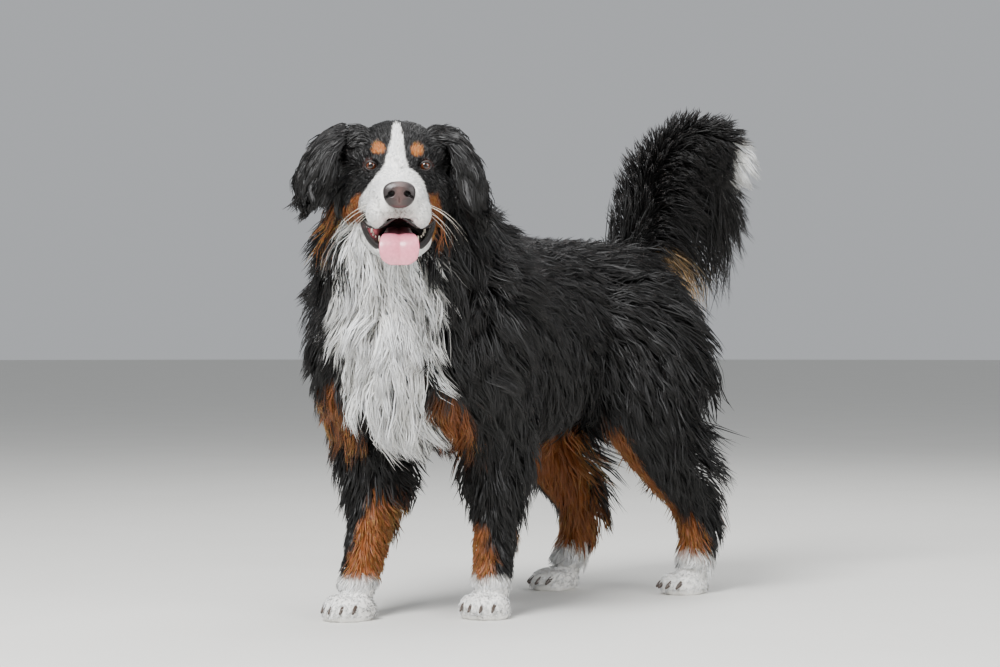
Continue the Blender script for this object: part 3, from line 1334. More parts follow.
def body_density(points, normals):
    """Strands to the square metre of the straight skin."""
    z = points[:, 2]
    depth = coat_depth(points, normals)
    dense = np.interp(depth, [0.004, 0.012, 0.022, 0.04, 0.08], [90000, 56000, 28500, 26500, 26500])
    front = step_between(-0.20, -0.26, points[:, 1]) * step_between(0.24, 0.30, z)
    dense = dense * (1 + 1.35 * front)
    dense = np.where(z < 0.06, 70000, dense)
    hidden = (z < 0.008) | (behind_head(points) < -0.02)
    return dense * ~hidden * HAIR_SHARE


def coat_of_body(points, normals, rng):
    depth = coat_depth(points, normals)
    count = len(points)
    y, z = points[:, 1], points[:, 2]
    length = np.interp(depth, [0.004, 0.010, 0.020, 0.040, 0.080], [0.010, 0.026, 0.062, 0.085, 0.100])
    length = length * rng.uniform(0.70, 1.25, count)
    long = step_between(0.014, 0.040, depth)
    under = np.clip(-normals[:, 2], 0, 1)
    behind = np.clip(normals[:, 1], 0, 1) * (y > 0.1)
    return {
        "depth": depth,
        "length": length * (1 + 0.35 * under * (z > 0.25)),
        "height": depth * (1 - UNDER) * (1.15 + 0.25 * behind) + 0.006 * long,
        "free": 0.20 + 0.55 * long + 0.25 * under,
        "fall": 0.05 + 0.25 * long + 0.3 * under,
        "wave": 0.15 + 0.40 * step_between(0.012, 0.030, depth),
        "turns": np.where(depth > 0.014, 1.1, 0.6),
        "clump": 0.30 + 0.32 * long,
        "frizz": 0.0005 + 0.0014 * step_between(0.01, 0.03, depth),
        "stray": 0.12 + 0.22 * step_between(0.01, 0.03, depth),
    }


def take(coat, keep):
    """The rows of a coat's tables that a piece keeps, its leaders numbered anew."""
    index = np.full(len(keep), -1)
    index[np.flatnonzero(keep)] = np.arange(keep.sum())
    part = {name: values[keep] for name, values in coat.items() if name != "lead"}
    lead = index[coat["lead"][keep]]
    part["lead"] = np.where(lead < 0, np.arange(keep.sum()), lead)
    return part


def make_body_coat(sizes):
    rng = np.random.default_rng(SEED)
    body = MADE["body"]
    roots, faces = sow(body.data, body_density, rng, 150000)
    tail = (roots[:, 1] > 0.33) & (roots[:, 2] > 0.60)
    roots, faces = roots[~tail], faces[~tail]
    coat = coat_of_body(roots, faces, rng)
    spacing = np.interp(coat["depth"], [0.004, 0.012, 0.03, 0.06], [0.006, 0.010, 0.017, 0.021])
    coat["lead"] = tend(roots, spacing, rng)
    seen = roots + lie_on_body(roots, faces) * (SEEN_AT * coat["length"])[:, None]
    colours = body_colour(seen, faces)
    region = body_region(roots, faces)
    lead_region = region[coat["lead"]]
    material = MADE["hair"]
    pieces = []
    for name in sorted(set(lead_region)):
        keep = lead_region == name
        part = take(coat, keep)
        short = name in ("forelegs", "hind_legs", "feet")
        steps = 2 if name == "feet" else 3 if short else 4
        here = roots[keep]
        places, looks = grow_strands(MADE["body_tree"], here, faces[keep], lie_on_body, part, rng, steps)
        breadth = np.interp(part["depth"], [0.004, 0.012, 0.03], [0.0015, 0.0020, 0.0026])
        breadth = breadth * rng.uniform(0.65, 1.35, len(here))
        breadth = breadth * (0.80 if name in ("chest", "neck_left", "neck_right") else 1.0)
        breadth = breadth * sizes.hair_breadth
        corners = ribbon_corners(places, looks, breadth, HAIR_SHAPE)
        corners = stand_rows(corners)
        corners[..., 2] = np.maximum(corners[..., 2], 0.0006)
        soft = turned(places, looks, stand_rows)
        colour = tint(colours[keep], part["lead"], steps, rng)
        pieces.append(strands_object("coat_" + name, corners, colour, map_body(here), material, soft))
    return pieces


def head_coat_tables(points, normals, rng):
    x, y, z = points.T
    depth = head_depth(points, normals)
    count = len(points)
    length = 0.0045 + 0.004 * step_between(-0.10, -0.03, y) + 0.007 * step_between(0.0, 0.05, y)
    length = length + 0.014 * step_between(0.06, 0.12, y)
    cheek = step_between(0.015, 0.05, y) * step_between(0.0, -0.06, z)
    throat = step_between(-0.05, 0.02, y) * step_between(-0.10, -0.14, z)
    temple = step_between(0.040, 0.060, abs(x)) * step_between(0.020, 0.045, z)
    ruff = step_between(0.045, 0.075, y) * step_between(0.045, 0.0, z)
    # the hair behind the right ear, which lies further out, closes the gap beside the cheek
    level = step_between(0.045, 0.025, z) * step_between(-0.08, -0.04, z)
    ruff = np.maximum(ruff, (x < 0) * step_between(0.018, 0.040, y) * level)
    length = length + 0.040 * cheek + 0.030 * throat + 0.022 * temple + 0.025 * ruff
    long = np.clip((length - 0.014) / 0.03, 0, 1)
    return {
        "depth": depth,
        "length": length * rng.uniform(0.75, 1.2, count),
        "height": 0.0010 + depth * (0.30 + 0.5 * long) + 0.003 * temple + 0.010 * cheek + 0.016 * ruff,
        "free": 0.05 + 0.5 * long,
        "fall": 0.03 + 0.30 * long,
        "wave": 0.05 + 0.40 * long,
        "turns": 0.5 + 0.8 * long,
        "clump": 0.10 + 0.45 * long,
        "frizz": 0.0001 + 0.0009 * long,
        "stray": 0.05 + 0.20 * long,
    }


def head_density(points, normals):
    x, y, z = points.T
    dense = np.interp(y, [-0.06, -0.02, 0.03, 0.08], [290000, 250000, 150000, 75000])
    eyes = np.minimum(*[np.hypot(x - m * EYE_SPACING / 2, z * 1.25) for m in (1, -1)])
    bare = (eyes < 0.0108) & (y < 0.02)
    nose = (y < -0.093) & (abs(x) < 0.027) & (z > -0.069) & (z < -0.020)
    hollow = ((x / 0.030) ** 2 + ((y + 0.056) / 0.046) ** 2 + ((z + 0.100) / 0.030) ** 2) < 1.0
    lips = lip_band(points) > 0.5
    behind = (y > 0.11) | (behind_neck(points) > 0.015)
    return dense * ~(bare | nose | hollow | lips | behind) * HAIR_SHARE


def make_head_coat(sizes):
    rng = np.random.default_rng(SEED + 1)
    head = MADE["head"]
    roots, faces = sow(head.data, head_density, rng, 330000)
    y = roots[:, 1]
    on_ear = on_flap(roots)
    coat = head_coat_tables(roots, faces, rng)
    for name, value in EAR_HAIR.items():
        vary = rng.uniform(0.7, 1.25, len(roots)) if name == "length" else 1.0
        coat[name] = np.where(on_ear, value * vary, coat[name])
    share = np.interp(y, [-0.06, -0.02, 0.03, 0.08], [0.3, 0.4, 0.6, 0.9])
    thin_out = ~on_ear | (rng.random(len(roots)) < share)
    roots, faces = roots[thin_out], faces[thin_out]
    coat = {name: values[thin_out] for name, values in coat.items()}
    on_ear = on_ear[thin_out]
    coat["lead"] = tend(roots, np.interp(coat["length"], [0.005, 0.02, 0.05], [0.0035, 0.007, 0.014]), rng)
    seen = roots + lie_on_head(roots, faces) * (SEEN_AT * coat["length"])[:, None]
    colours = face_colour(seen)
    colours = np.where(on_ear[:, None], np.array(BLACK_HAIR), colours)
    region = np.where(on_ear, "ears", np.where(roots[:, 1] < -0.012, "muzzle", "skull"))
    lead_region = region[coat["lead"]]
    pieces = []
    for name in sorted(set(lead_region)):
        keep = lead_region == name
        part = take(coat, keep)
        steps = {"muzzle": 2, "skull": 3, "ears": 4}[name]
        lie = lie_on_ear if name == "ears" else lie_on_head
        here = roots[keep]
        places, looks = grow_strands(MADE["head_tree"], here, faces[keep], lie, part, rng, steps)
        breadth = np.interp(part["length"], [0.005, 0.015, 0.045], [0.0009, 0.0013, 0.0021])
        breadth = breadth * rng.uniform(0.7, 1.25, len(here))
        corners = head_rows(ribbon_corners(places, looks, breadth * sizes.hair_breadth, HAIR_SHAPE))
        colour = tint(colours[keep], part["lead"], steps, rng)
        soft = turned(places, looks, head_rows)
        pieces.append(strands_object("coat_" + name, corners, colour, map_head(here), MADE["hair"], soft))
    return pieces


def on_flap(points):
    """Which places lie on the flaps of the ears."""
    x, y, z = points.T
    root = np.interp(z, [-0.09, -0.03, 0.03, 0.05, 0.08], [0.086, 0.086, 0.082, 0.080, 0.086])
    return (abs(x) > root) & (y > -0.005)


def lie_on_ear(points, normals):
    """The way that the hair grows on the flaps: down, and outwards near the root."""
    high = step_between(0.0, 0.06, points[:, 2])
    aside = np.sign(points[:, 0]) * (0.45 + 0.5 * high)
    grow = np.column_stack([aside, -0.05 * np.ones(len(points)), -1.0 + 0.4 * high])
    grow = unit_rows(grow - normals * dots(grow, normals))
    turn = (0.35 * wobble(points, 0.03, 7.0))[:, None]
    return unit_rows(grow + np.cross(normals, grow) * turn)


def tail_places(rows, share):
    """Places on the tail's bone: the centre, the way to the tip, the inside of the curve and the side."""
    at = share * (len(rows) - 1)
    i = np.minimum(at.astype(int), len(rows) - 2)
    here, ahead = rows[i, :3], rows[i + 1, :3]
    along = unit_rows(ahead - here)
    side = np.tile([1.0, 0.0, 0.0], (len(share), 1))
    side = unit_rows(side - along * along[:, :1])
    inside = np.cross(along, side)
    return here + (ahead - here) * (at - i)[:, None], along, inside, side


def plume_outline():
    """The plume out to its tips, as a search tree."""
    bm = bmesh.new()
    add_limb(bm, [row[:3] + tuple(value * PLUME_SPREAD for value in row[3:]) for row in PLUME], sides=20)
    for centre, radii in FRINGE:
        add_ball(bm, centre, [value * PLUME_SPREAD for value in radii])
    outline = fuse(mesh_object("outline", bm), 0.008, 4)
    tree = tree_of(outline)
    bpy.data.objects.remove(outline)
    return tree


def reach_to(tree, roots, heading, least):
    """How far it is from each root to the outside of the outline."""
    away, found = 0.5, []
    for root, way in zip(roots, heading):
        hit = tree.ray_cast(Vector(root + way * away), Vector(-way))
        found.append(max(away - hit[3] if hit[0] else 0.0, least))
    return np.array(found)


def make_tail_coat(sizes):
    rng = np.random.default_rng(SEED + 2)
    rows = smooth_rows(TAIL, 8)
    outline = plume_outline()
    count = int(TAIL_STRANDS * HAIR_SHARE)
    share = rng.uniform(0.03, 1.0, count) ** 0.85
    inward = rng.random(count) < 0.62
    angle = np.where(inward, rng.normal(0, 0.55, count), rng.uniform(-math.pi, math.pi, count))
    centre, along, inside, side = tail_places(rows, share)
    out = inside * np.cos(angle)[:, None] + side * np.sin(angle)[:, None]
    inner = (0.5 + 0.5 * np.cos(angle))[:, None]
    lean = inner * (-0.55 + 1.45 * share[:, None]) + (1 - inner) * (1.15 - 0.3 * share[:, None])
    lean = lean + rng.normal(0, 0.16, (count, 1))
    heading = unit_rows(out + along * lean + side * rng.normal(0, 0.12, (count, 1)))
    bone = np.interp(share, np.linspace(0, 1, len(rows)), rows[:, 3])[:, None]
    roots = centre + out * bone * 0.8
    white = step_between(0.955, 0.975, share + 0.01 * rng.normal(0, 1, count))
    onward = unit_rows(along + out * 0.25 + np.array([0.0, 0.0, -0.25]))
    heading = unit_rows(heading + (onward - heading) * white[:, None])
    length = (reach_to(outline, roots, heading, 0.055) * rng.uniform(0.72, 1.08, count))[:, None]
    length = length + (rng.uniform(0.045, 0.085, (count, 1)) - length) * white[:, None]
    tips = roots + heading * length
    lead = tend(tips, np.full(count, 0.024), rng)
    steps = 5
    middle = roots + (0.55 * along + 0.75 * out) * length * 0.45
    sag = np.array([0, 0, -1]) * length * (0.10 + 0.16 * inner)
    phase = rng.uniform(0, 2 * math.pi, count)[lead] + rng.normal(0, 0.4, count)
    sway = rng.uniform(0.020, 0.060, count)[lead]
    reach = np.linspace(0, 1, steps + 1)
    places = []
    for t in reach:
        spot = roots * (1 - t) ** 2 + middle * 2 * t * (1 - t) + (tips + sag) * t**2
        wave = (np.sin(phase + 2 * math.pi * 1.5 * t) * sway * t)[:, None] * length
        places.append(spot + side * wave + np.cross(side, heading) * (0.8 * wave))
    places = np.stack(places, 1)
    pull = 0.60 * (reach**1.5)[None, :, None]
    frizz = rng.normal(0, 0.0014, places.shape) * reach[None, :, None]
    places = places + pull * (places[lead] - places) + frizz
    face = side * (np.sign(rng.random((count, 1)) - 0.5) * (0.2 + inner)) + out * (1.1 - inner)
    looks = np.repeat(unit_rows(face + rng.normal(0, 0.3, (count, 3)))[:, None], steps + 1, axis=1)
    breadth = rng.uniform(0.0018, 0.0032, count) * sizes.hair_breadth
    corners = stand_rows(ribbon_corners(places, looks, breadth, HAIR_SHAPE))
    colour = mix_rows(np.tile(BLACK_HAIR, (count, 1)), WHITE_HAIR, white)
    cream = step_between(0.22, 0.14, share) * step_between(0.80, 0.92, inner[:, 0])
    colour = tint(mix_rows(colour, CREAM_HAIR, cream), lead, steps, rng)
    on_map = np.column_stack([0.02 + 0.96 * (angle / (2 * math.pi) + 0.5) % 1.0, 0.02 + 0.96 * share])
    pieces = []
    on_map = np.clip(on_map, 0.004, 0.996)
    for name, keep in (("coat_tail_left", angle[lead] >= 0), ("coat_tail_right", angle[lead] < 0)):
        pieces.append(strands_object(name, corners[keep], colour[keep], on_map[keep], MADE["hair"]))
    return pieces


# Eyes, nose, mouth, claws and whiskers


def make_eye(name, mirror):
    """A moist eyeball: its clear front stands out a little over a reddish brown iris."""
    bm = bmesh.new()
    rings, sides = 56, 48
    angles = [math.pi * (k / rings) ** 1.25 for k in range(1, rings)]
    front = bm.verts.new((0, -EYE_RADIUS * 1.05, 0))
    around = [(math.cos(a), math.sin(a)) for a in np.linspace(0, 2 * math.pi, sides, endpoint=False)]
    loops = []
    for angle in angles:
        radius = EYE_RADIUS * (1 + 0.05 * math.exp(-((angle / 0.50) ** 4)))
        spread, depth = radius * math.sin(angle), -radius * math.cos(angle)
        loops.append([bm.verts.new((spread * across, depth, spread * up)) for across, up in around])
    back = bm.verts.new((0, EYE_RADIUS, 0))
    for i in range(sides):
        j = (i + 1) % sides
        bm.faces.new((front, loops[0][j], loops[0][i]))
        bm.faces.new((back, loops[-1][i], loops[-1][j]))
        for near, far in zip(loops, loops[1:]):
            bm.faces.new((near[i], near[j], far[j], far[i]))
    bmesh.ops.recalc_face_normals(bm, faces=bm.faces)
    eye = mesh_object(name, bm)
    points, _ = mesh_arrays(eye.data)
    away = np.arccos(np.clip(-points[:, 1] / np.linalg.norm(points, axis=1), -1, 1))
    around = np.arctan2(points[:, 2], points[:, 0])
    streak = 0.5 + 0.5 * np.sin(23 * around + 3 * np.sin(7 * around))
    colour = np.tile(linear("3a2620"), (len(points), 1))
    colour = mix_rows(colour, linear("1a0d08"), step_between(0.66, 0.60, away))
    iris = np.array(linear("4e2612"))[None] * (0.65 + 0.6 * streak * step_between(0.20, 0.50, away))[:, None]
    inside = step_between(0.60, 0.55, away)[:, None]
    colour = colour + (iris - colour) * inside
    colour = mix_rows(colour, linear("070505"), step_between(0.31, 0.27, away))
    colour_points(eye, colour)
    turn = Matrix.Rotation(mirror * 0.10, 4, "Z")
    eye.data.transform(Matrix.Translation((mirror * EYE_SPACING / 2, 0.0015, 0)) @ turn)
    return place_mesh(give(eye, MADE["eye_glaze"]), head_rows)


def make_lids(name, mirror):
    """The dark rims of both lids, resting on the eyeball and running under the hair."""
    bm = bmesh.new()
    sides, tilt = 56, 0.12 * mirror
    steps = [(0.0, 0.00015), (0.02, 0.0007), (0.07, 0.0012), (0.14, 0.0012), (0.24, 0.0004), (0.36, -0.0014)]
    loops = []
    for grow, proud in steps:
        loop = []
        for i in range(sides):
            a = 2 * math.pi * i / sides
            wide, high = math.cos(a), math.sin(a)
            inner = 0.10 if wide * mirror < 0 else 0.0
            tall = 0.45 if high > 0 else 0.50
            opening = 1 / math.sqrt((wide / (0.72 + inner)) ** 2 + (high / tall) ** 2)
            angle = opening + grow
            radius = EYE_RADIUS + proud + 0.0004 * max(high, 0)
            x, z = radius * math.sin(angle) * wide, radius * math.sin(angle) * high
            x, z = x * math.cos(tilt) - z * math.sin(tilt), x * math.sin(tilt) + z * math.cos(tilt)
            loop.append(bm.verts.new((x, -radius * math.cos(angle), z)))
        loops.append(loop)
    for near, far in zip(loops, loops[1:]):
        for i in range(sides):
            j = (i + 1) % sides
            bm.faces.new((near[i], near[j], far[j], far[i]))
    bmesh.ops.recalc_face_normals(bm, faces=bm.faces)
    lids = mesh_object(name, bm)
    lids.modifiers.new("wall", "SOLIDIFY").thickness = -0.0006
    apply_modifiers(lids)
    points, _ = mesh_arrays(lids.data)
    colour_points(lids, np.tile(DARK_SKIN, (len(points), 1)) * 0.3)
    turn = Matrix.Rotation(mirror * 0.10, 4, "Z")
    lids.data.transform(Matrix.Translation((mirror * EYE_SPACING / 2, 0.0015, 0)) @ turn)
    return place_mesh(give(lids, MADE["lid_skin"]), head_rows)


def make_nose():
    """The damp nose with its nostrils, their side slits and the groove under them."""
    bm = bmesh.new()
    add_loft(bm, section_rings(NOSE, 40, 2.3, 5))
    bmesh.ops.recalc_face_normals(bm, faces=bm.faces)
    nose = mesh_object("nose_leather", bm)
    cut_away(nose, *nostrils())
    fuse(nose, 0.0008, 4)
    points, _ = mesh_arrays(nose.data)
    x, y, z = points.T
    colour = np.tile(linear("221b1b"), (len(points), 1))
    centre = np.exp(-((x / 0.0095) ** 2)) * step_between(-0.105, -0.114, y)
    colour = mix_rows(colour, linear("5c4440"), 0.85 * centre * (0.75 + 0.25 * wobble(points, 0.006)))
    deep = np.exp(-(((abs(x) - 0.0130) / 0.007) ** 2) - ((z + 0.0460) / 0.0054) ** 2)
    colour = mix_rows(colour, linear("050404"), 1.3 * deep * step_between(-0.1175, -0.1145, y))
    colour_points(nose, colour)
    return place_mesh(give(nose, MADE["nose_leather"]), head_rows)


def tube(rows, sides=16, steps=5, power=2.0, name="tube"):
    """A bent closed form in the head's frame, its rows as x, y, z, half breadth and half depth."""
    bm = bmesh.new()
    rows = smooth_rows(rows, steps)
    centres = [Vector(row[:3]) for row in rows]
    rings = []
    for i, row in enumerate(rows):
        along = (centres[min(i + 1, len(rows) - 1)] - centres[max(i - 1, 0)]).normalized()
        side = (Vector((1, 0, 0)) - along * along.x)
        side = side.normalized() if side.length > 0.3 else along.cross(Vector((0, 0, 1))).normalized()
        rings.append(ring(centres[i], side, along.cross(side), row[3], row[4], row[4], sides, power))
    add_loft(bm, rings)
    bmesh.ops.recalc_face_normals(bm, faces=bm.faces)
    return mesh_object(name, bm)


def make_tongue():
    """A broad damp tongue over the lower teeth, grooved along its middle."""
    rows = smooth_rows(TONGUE, 4)
    bm = bmesh.new()
    centres = [Vector(row[:3]) for row in rows]
    rings = []
    for i, row in enumerate(rows):
        along = (centres[min(i + 1, len(rows) - 1)] - centres[max(i - 1, 0)]).normalized()
        rise = along.cross(Vector((1, 0, 0)))
        points = ring(centres[i], Vector((1, 0, 0)), rise, row[3], row[4], row[4], 40, 2.6)
        for k, point in enumerate(points):
            share = point.x / row[3]
            if (point - centres[i]).dot(rise) > 0:
                points[k] = points[k] - rise * (0.45 * row[4] * math.exp(-((share / 0.14) ** 2)))
            points[k] = points[k] + rise * (0.0022 * share * share)
        rings.append(points)
    add_loft(bm, rings)
    bmesh.ops.recalc_face_normals(bm, faces=bm.faces)
    tongue = mesh_object("tongue_flesh", bm)
    tongue.modifiers.new("round", "SUBSURF").levels = 1
    apply_modifiers(tongue)
    points, _ = mesh_arrays(tongue.data)
    x, y, z = points.T
    colour = np.tile(linear("d67c8d"), (len(points), 1))
    colour = mix_rows(colour, linear("c46a78"), 0.6 * np.exp(-((x / 0.003) ** 2)))
    colour = mix_rows(colour, linear("8d4a55"), step_between(-0.075, -0.02, y))
    colour = mix_rows(colour, linear("e39aa5"), 0.5 * step_between(-0.13, -0.155, z))
    colour_points(tongue, colour)
    return place_mesh(give(tongue, MADE["tongue_flesh"]), head_rows)


def make_lips():
    """The black lower lips, the thin rims of the upper ones, and the gums within."""
    pieces = []
    for rows, name in ((LOWER_LIP, "lower"), (UPPER_LIP, "upper")):
        for mirror in (1, -1):
            pieces.append(tube([(mirror * r[0],) + r[1:] for r in rows], name=name))
    lips = pieces[0]
    bm = bmesh.new()
    for piece in pieces:
        bm.from_mesh(piece.data)
    for piece in pieces[1:]:
        bpy.data.objects.remove(piece)
    bm.to_mesh(lips.data)
    bm.free()
    lips.name = "lips"
    fuse(lips, 0.0014, 2)
    points, _ = mesh_arrays(lips.data)
    colour = np.tile(LIP_SKIN, (len(points), 1))
    colour = mix_rows(colour, linear("4a2c2b"), 0.5 * step_between(0.3, 0.9, wobble(points, 0.015)))
    colour_points(lips, colour)
    return place_mesh(give(lips, MADE["lip_skin"]), head_rows)


def spike(root, heading, radius, length, bend, sides=10, rings=7):
    """Rings of a bent, rounded cone."""
    side = heading.cross(Vector((0, 0.3, 1))).normalized()
    rise = side.cross(heading)
    loops = []
    for k in range(rings):
        t = k / rings
        at = root + heading * (length * t) - rise * (bend * t * t)
        wide = radius * math.sqrt(max(1 - t**1.6, 0.02))
        loops.append(ring(at, side, rise, wide * 0.8, wide * 1.15, wide * 1.15, sides))
    return loops


def make_teeth():
    """The tips of the lower canines and the small teeth behind and between them."""
    bm = bmesh.new()
    for mirror in (1, -1):
        for x, y, z, radius, length in LOWER_TEETH:
            heading = Vector((0.05 * mirror, -0.12, 1)).normalized()
            add_loft(bm, spike(Vector((mirror * x, y, z)), heading, radius, length, 0.0008))
    bmesh.ops.recalc_face_normals(bm, faces=bm.faces)
    teeth = mesh_object("teeth", bm)
    points, _ = mesh_arrays(teeth.data)
    colour = np.tile(linear("e9e1cf"), (len(points), 1))
    colour_points(teeth, mix_rows(colour, linear("b59c78"), step_between(-0.112, -0.120, points[:, 2])))
    return place_mesh(give(teeth, MADE["enamel"]), head_rows)


def nodes_for_claws():
    """Sets a claw at every point, turned as the point says."""
    tree = bpy.data.node_groups.new("set_claws", "GeometryNodeTree")
    tree.interface.new_socket("Geometry", in_out="INPUT", socket_type="NodeSocketGeometry")
    tree.interface.new_socket("Claw", in_out="INPUT", socket_type="NodeSocketObject")
    size = tree.interface.new_socket("Claw size", in_out="INPUT", socket_type="NodeSocketFloat")
    size.default_value = 1.0
    tree.interface.new_socket("Horn", in_out="INPUT", socket_type="NodeSocketMaterial")
    tree.interface.new_socket("Geometry", in_out="OUTPUT", socket_type="NodeSocketGeometry")
    given = tree.nodes.new("NodeGroupInput")
    claw = add_node(tree, "GeometryNodeObjectInfo", Object=given.outputs["Claw"])
    turn = add_node(tree, "GeometryNodeInputNamedAttribute", {"data_type": "FLOAT_VECTOR"}, Name="turn")
    points = add_node(tree, "GeometryNodeMeshToPoints", Mesh=given.outputs["Geometry"])
    placed = add_node(
        tree, "GeometryNodeInstanceOnPoints", Points=points.outputs[0], Instance=claw.outputs["Geometry"],
        Rotation=turn.outputs["Attribute"], Scale=given.outputs["Claw size"],
    )
    real = add_node(tree, "GeometryNodeRealizeInstances", Geometry=placed.outputs[0])
    horn = given.outputs["Horn"]
    painted = add_node(tree, "GeometryNodeSetMaterial", Geometry=real.outputs[0], Material=horn)
    add_node(tree, "NodeGroupOutput", Geometry=painted.outputs[0])
    return tree


def run_nodes(thing, tree, **values):
    """Gives a piece the result of a node tree as a plain mesh."""
    modifier = thing.modifiers.new("nodes", "NODES")
    modifier.node_group = tree
    for socket in tree.interface.items_tree:
        if socket.in_out == "INPUT" and socket.name.replace(" ", "_") in values:
            modifier[socket.identifier] = values[socket.name.replace(" ", "_")]
    thing.update_tag()
    return apply_modifiers(thing)


def make_claws(sizes):
    """Four blunt dark claws to a paw, made by one tree from a point and a turn for each."""
    bm = bmesh.new()
    heading = Vector((0, -1, -0.45)).normalized()
    add_loft(bm, spike(Vector((0, 0, 0)), heading, *CLAW, 0.003, 14, 10))
    bmesh.ops.recalc_face_normals(bm, faces=bm.faces)
    template = mesh_object("claw_form", bm)
    template.data.shade_smooth()
    spots, turns = [], []
    for heel, half, length, height in (FORE_PAW, HIND_PAW):
        for mirror in (1, -1):
            for place, reach in zip(TOE_PLACES, TOE_REACH):
                aside, ahead = mirror * heel.x + place * half, heel.y - (reach + 0.20) * length
                spots.append((aside, ahead, 0.50 * height))
                turns.append((0.0, 0.0, 0.12 * place))
    mesh = bpy.data.meshes.new("claws")
    standing = stand_rows(np.array(spots))
    mesh.from_pydata(standing.tolist(), [], [])
    ahead = stand_rows(np.array(spots) + np.array((0, -0.01, 0))) - standing
    heading = np.arctan2(ahead[:, 0], -ahead[:, 1])
    attribute = mesh.attributes.new("turn", "FLOAT_VECTOR", "POINT")
    turns = np.array(turns) + np.column_stack([0 * heading, 0 * heading, heading])
    attribute.data.foreach_set("vector", turns.ravel())
    claws = bpy.data.objects.new("claws", mesh)
    bpy.context.scene.collection.objects.link(claws)
    run_nodes(claws, nodes_for_claws(), Claw=template, Claw_size=sizes.claw_size, Horn=MADE["horn"])
    bpy.data.objects.remove(template)
    claws.data.shade_smooth()
    return claws


def nodes_for_whiskers():
    """Draws a tapering hair along every line."""
    tree = bpy.data.node_groups.new("draw_whiskers", "GeometryNodeTree")
    tree.interface.new_socket("Geometry", in_out="INPUT", socket_type="NodeSocketGeometry")
    thick = tree.interface.new_socket("Thickness", in_out="INPUT", socket_type="NodeSocketFloat")
    thick.default_value = 0.0006
    tree.interface.new_socket("Bristle", in_out="INPUT", socket_type="NodeSocketMaterial")
    tree.interface.new_socket("Geometry", in_out="OUTPUT", socket_type="NodeSocketGeometry")
    given = tree.nodes.new("NodeGroupInput")
    line = add_node(tree, "GeometryNodeMeshToCurve", Mesh=given.outputs["Geometry"])
    share = add_node(tree, "GeometryNodeInputNamedAttribute", {"data_type": "FLOAT"}, Name="share")
    full = given.outputs["Thickness"]
    wide = add_node(tree, "ShaderNodeMath", {"operation": "MULTIPLY"}, i0=share.outputs["Attribute"], i1=full)
    profile = add_node(tree, "GeometryNodeCurvePrimitiveCircle", Resolution=5, Radius=0.5)
    sized = add_node(tree, "GeometryNodeSetCurveRadius", Curve=line.outputs[0], Radius=wide.outputs[0])
    body = tree.nodes.new("GeometryNodeCurveToMesh")
    tree.links.new(sized.outputs[0], body.inputs["Curve"])
    tree.links.new(profile.outputs[0], body.inputs["Profile Curve"])
    body.inputs["Fill Caps"].default_value = True
    if "Scale" in body.inputs:
        tree.links.new(wide.outputs[0], body.inputs["Scale"])
    real = add_node(tree, "GeometryNodeRealizeInstances", Geometry=body.outputs[0])
    bristle = given.outputs["Bristle"]
    painted = add_node(tree, "GeometryNodeSetMaterial", Geometry=real.outputs[0], Material=bristle)
    add_node(tree, "NodeGroupOutput", Geometry=painted.outputs[0])
    return tree


def make_whiskers(sizes):
    """Pale whiskers in rows on the muzzle, and a few over the eyes."""
    rng = np.random.default_rng(SEED + 3)
    points, edges, shares = [], [], []
    tree = MADE["head_tree"]
    for mirror in (1, -1):
        for x, y, z, out, down, back, length in WHISKERS:
            jitter = rng.normal(0, 0.002, 3)
            root, face, _, _ = tree.find_nearest(Vector((mirror * x, y, z)) + Vector(jitter))
            heading = Vector((mirror * out, back, -down)).normalized()
            long = length * rng.uniform(0.8, 1.15)
            for k in range(9):
                t = k / 8
                if k:
                    edges.append((len(points) - 1, len(points)))
                bend = Vector((-0.12 * mirror, 0.05, -0.40)) * (long * t * t)
                points.append(root + heading * (long * t) + bend - face * 0.002 * (1 - t))
                shares.append(1.02 - t)
    mesh = bpy.data.meshes.new("whiskers")
    mesh.from_pydata(head_rows(np.array([p[:] for p in points])).tolist(), edges, [])
    mesh.attributes.new("share", "FLOAT", "POINT").data.foreach_set("value", np.array(shares, np.float32))
    whiskers = bpy.data.objects.new("whiskers", mesh)
    bpy.context.scene.collection.objects.link(whiskers)
    run_nodes(whiskers, nodes_for_whiskers(), Thickness=sizes.whisker_thickness, Bristle=MADE["bristle"])
    return whiskers


# The stage


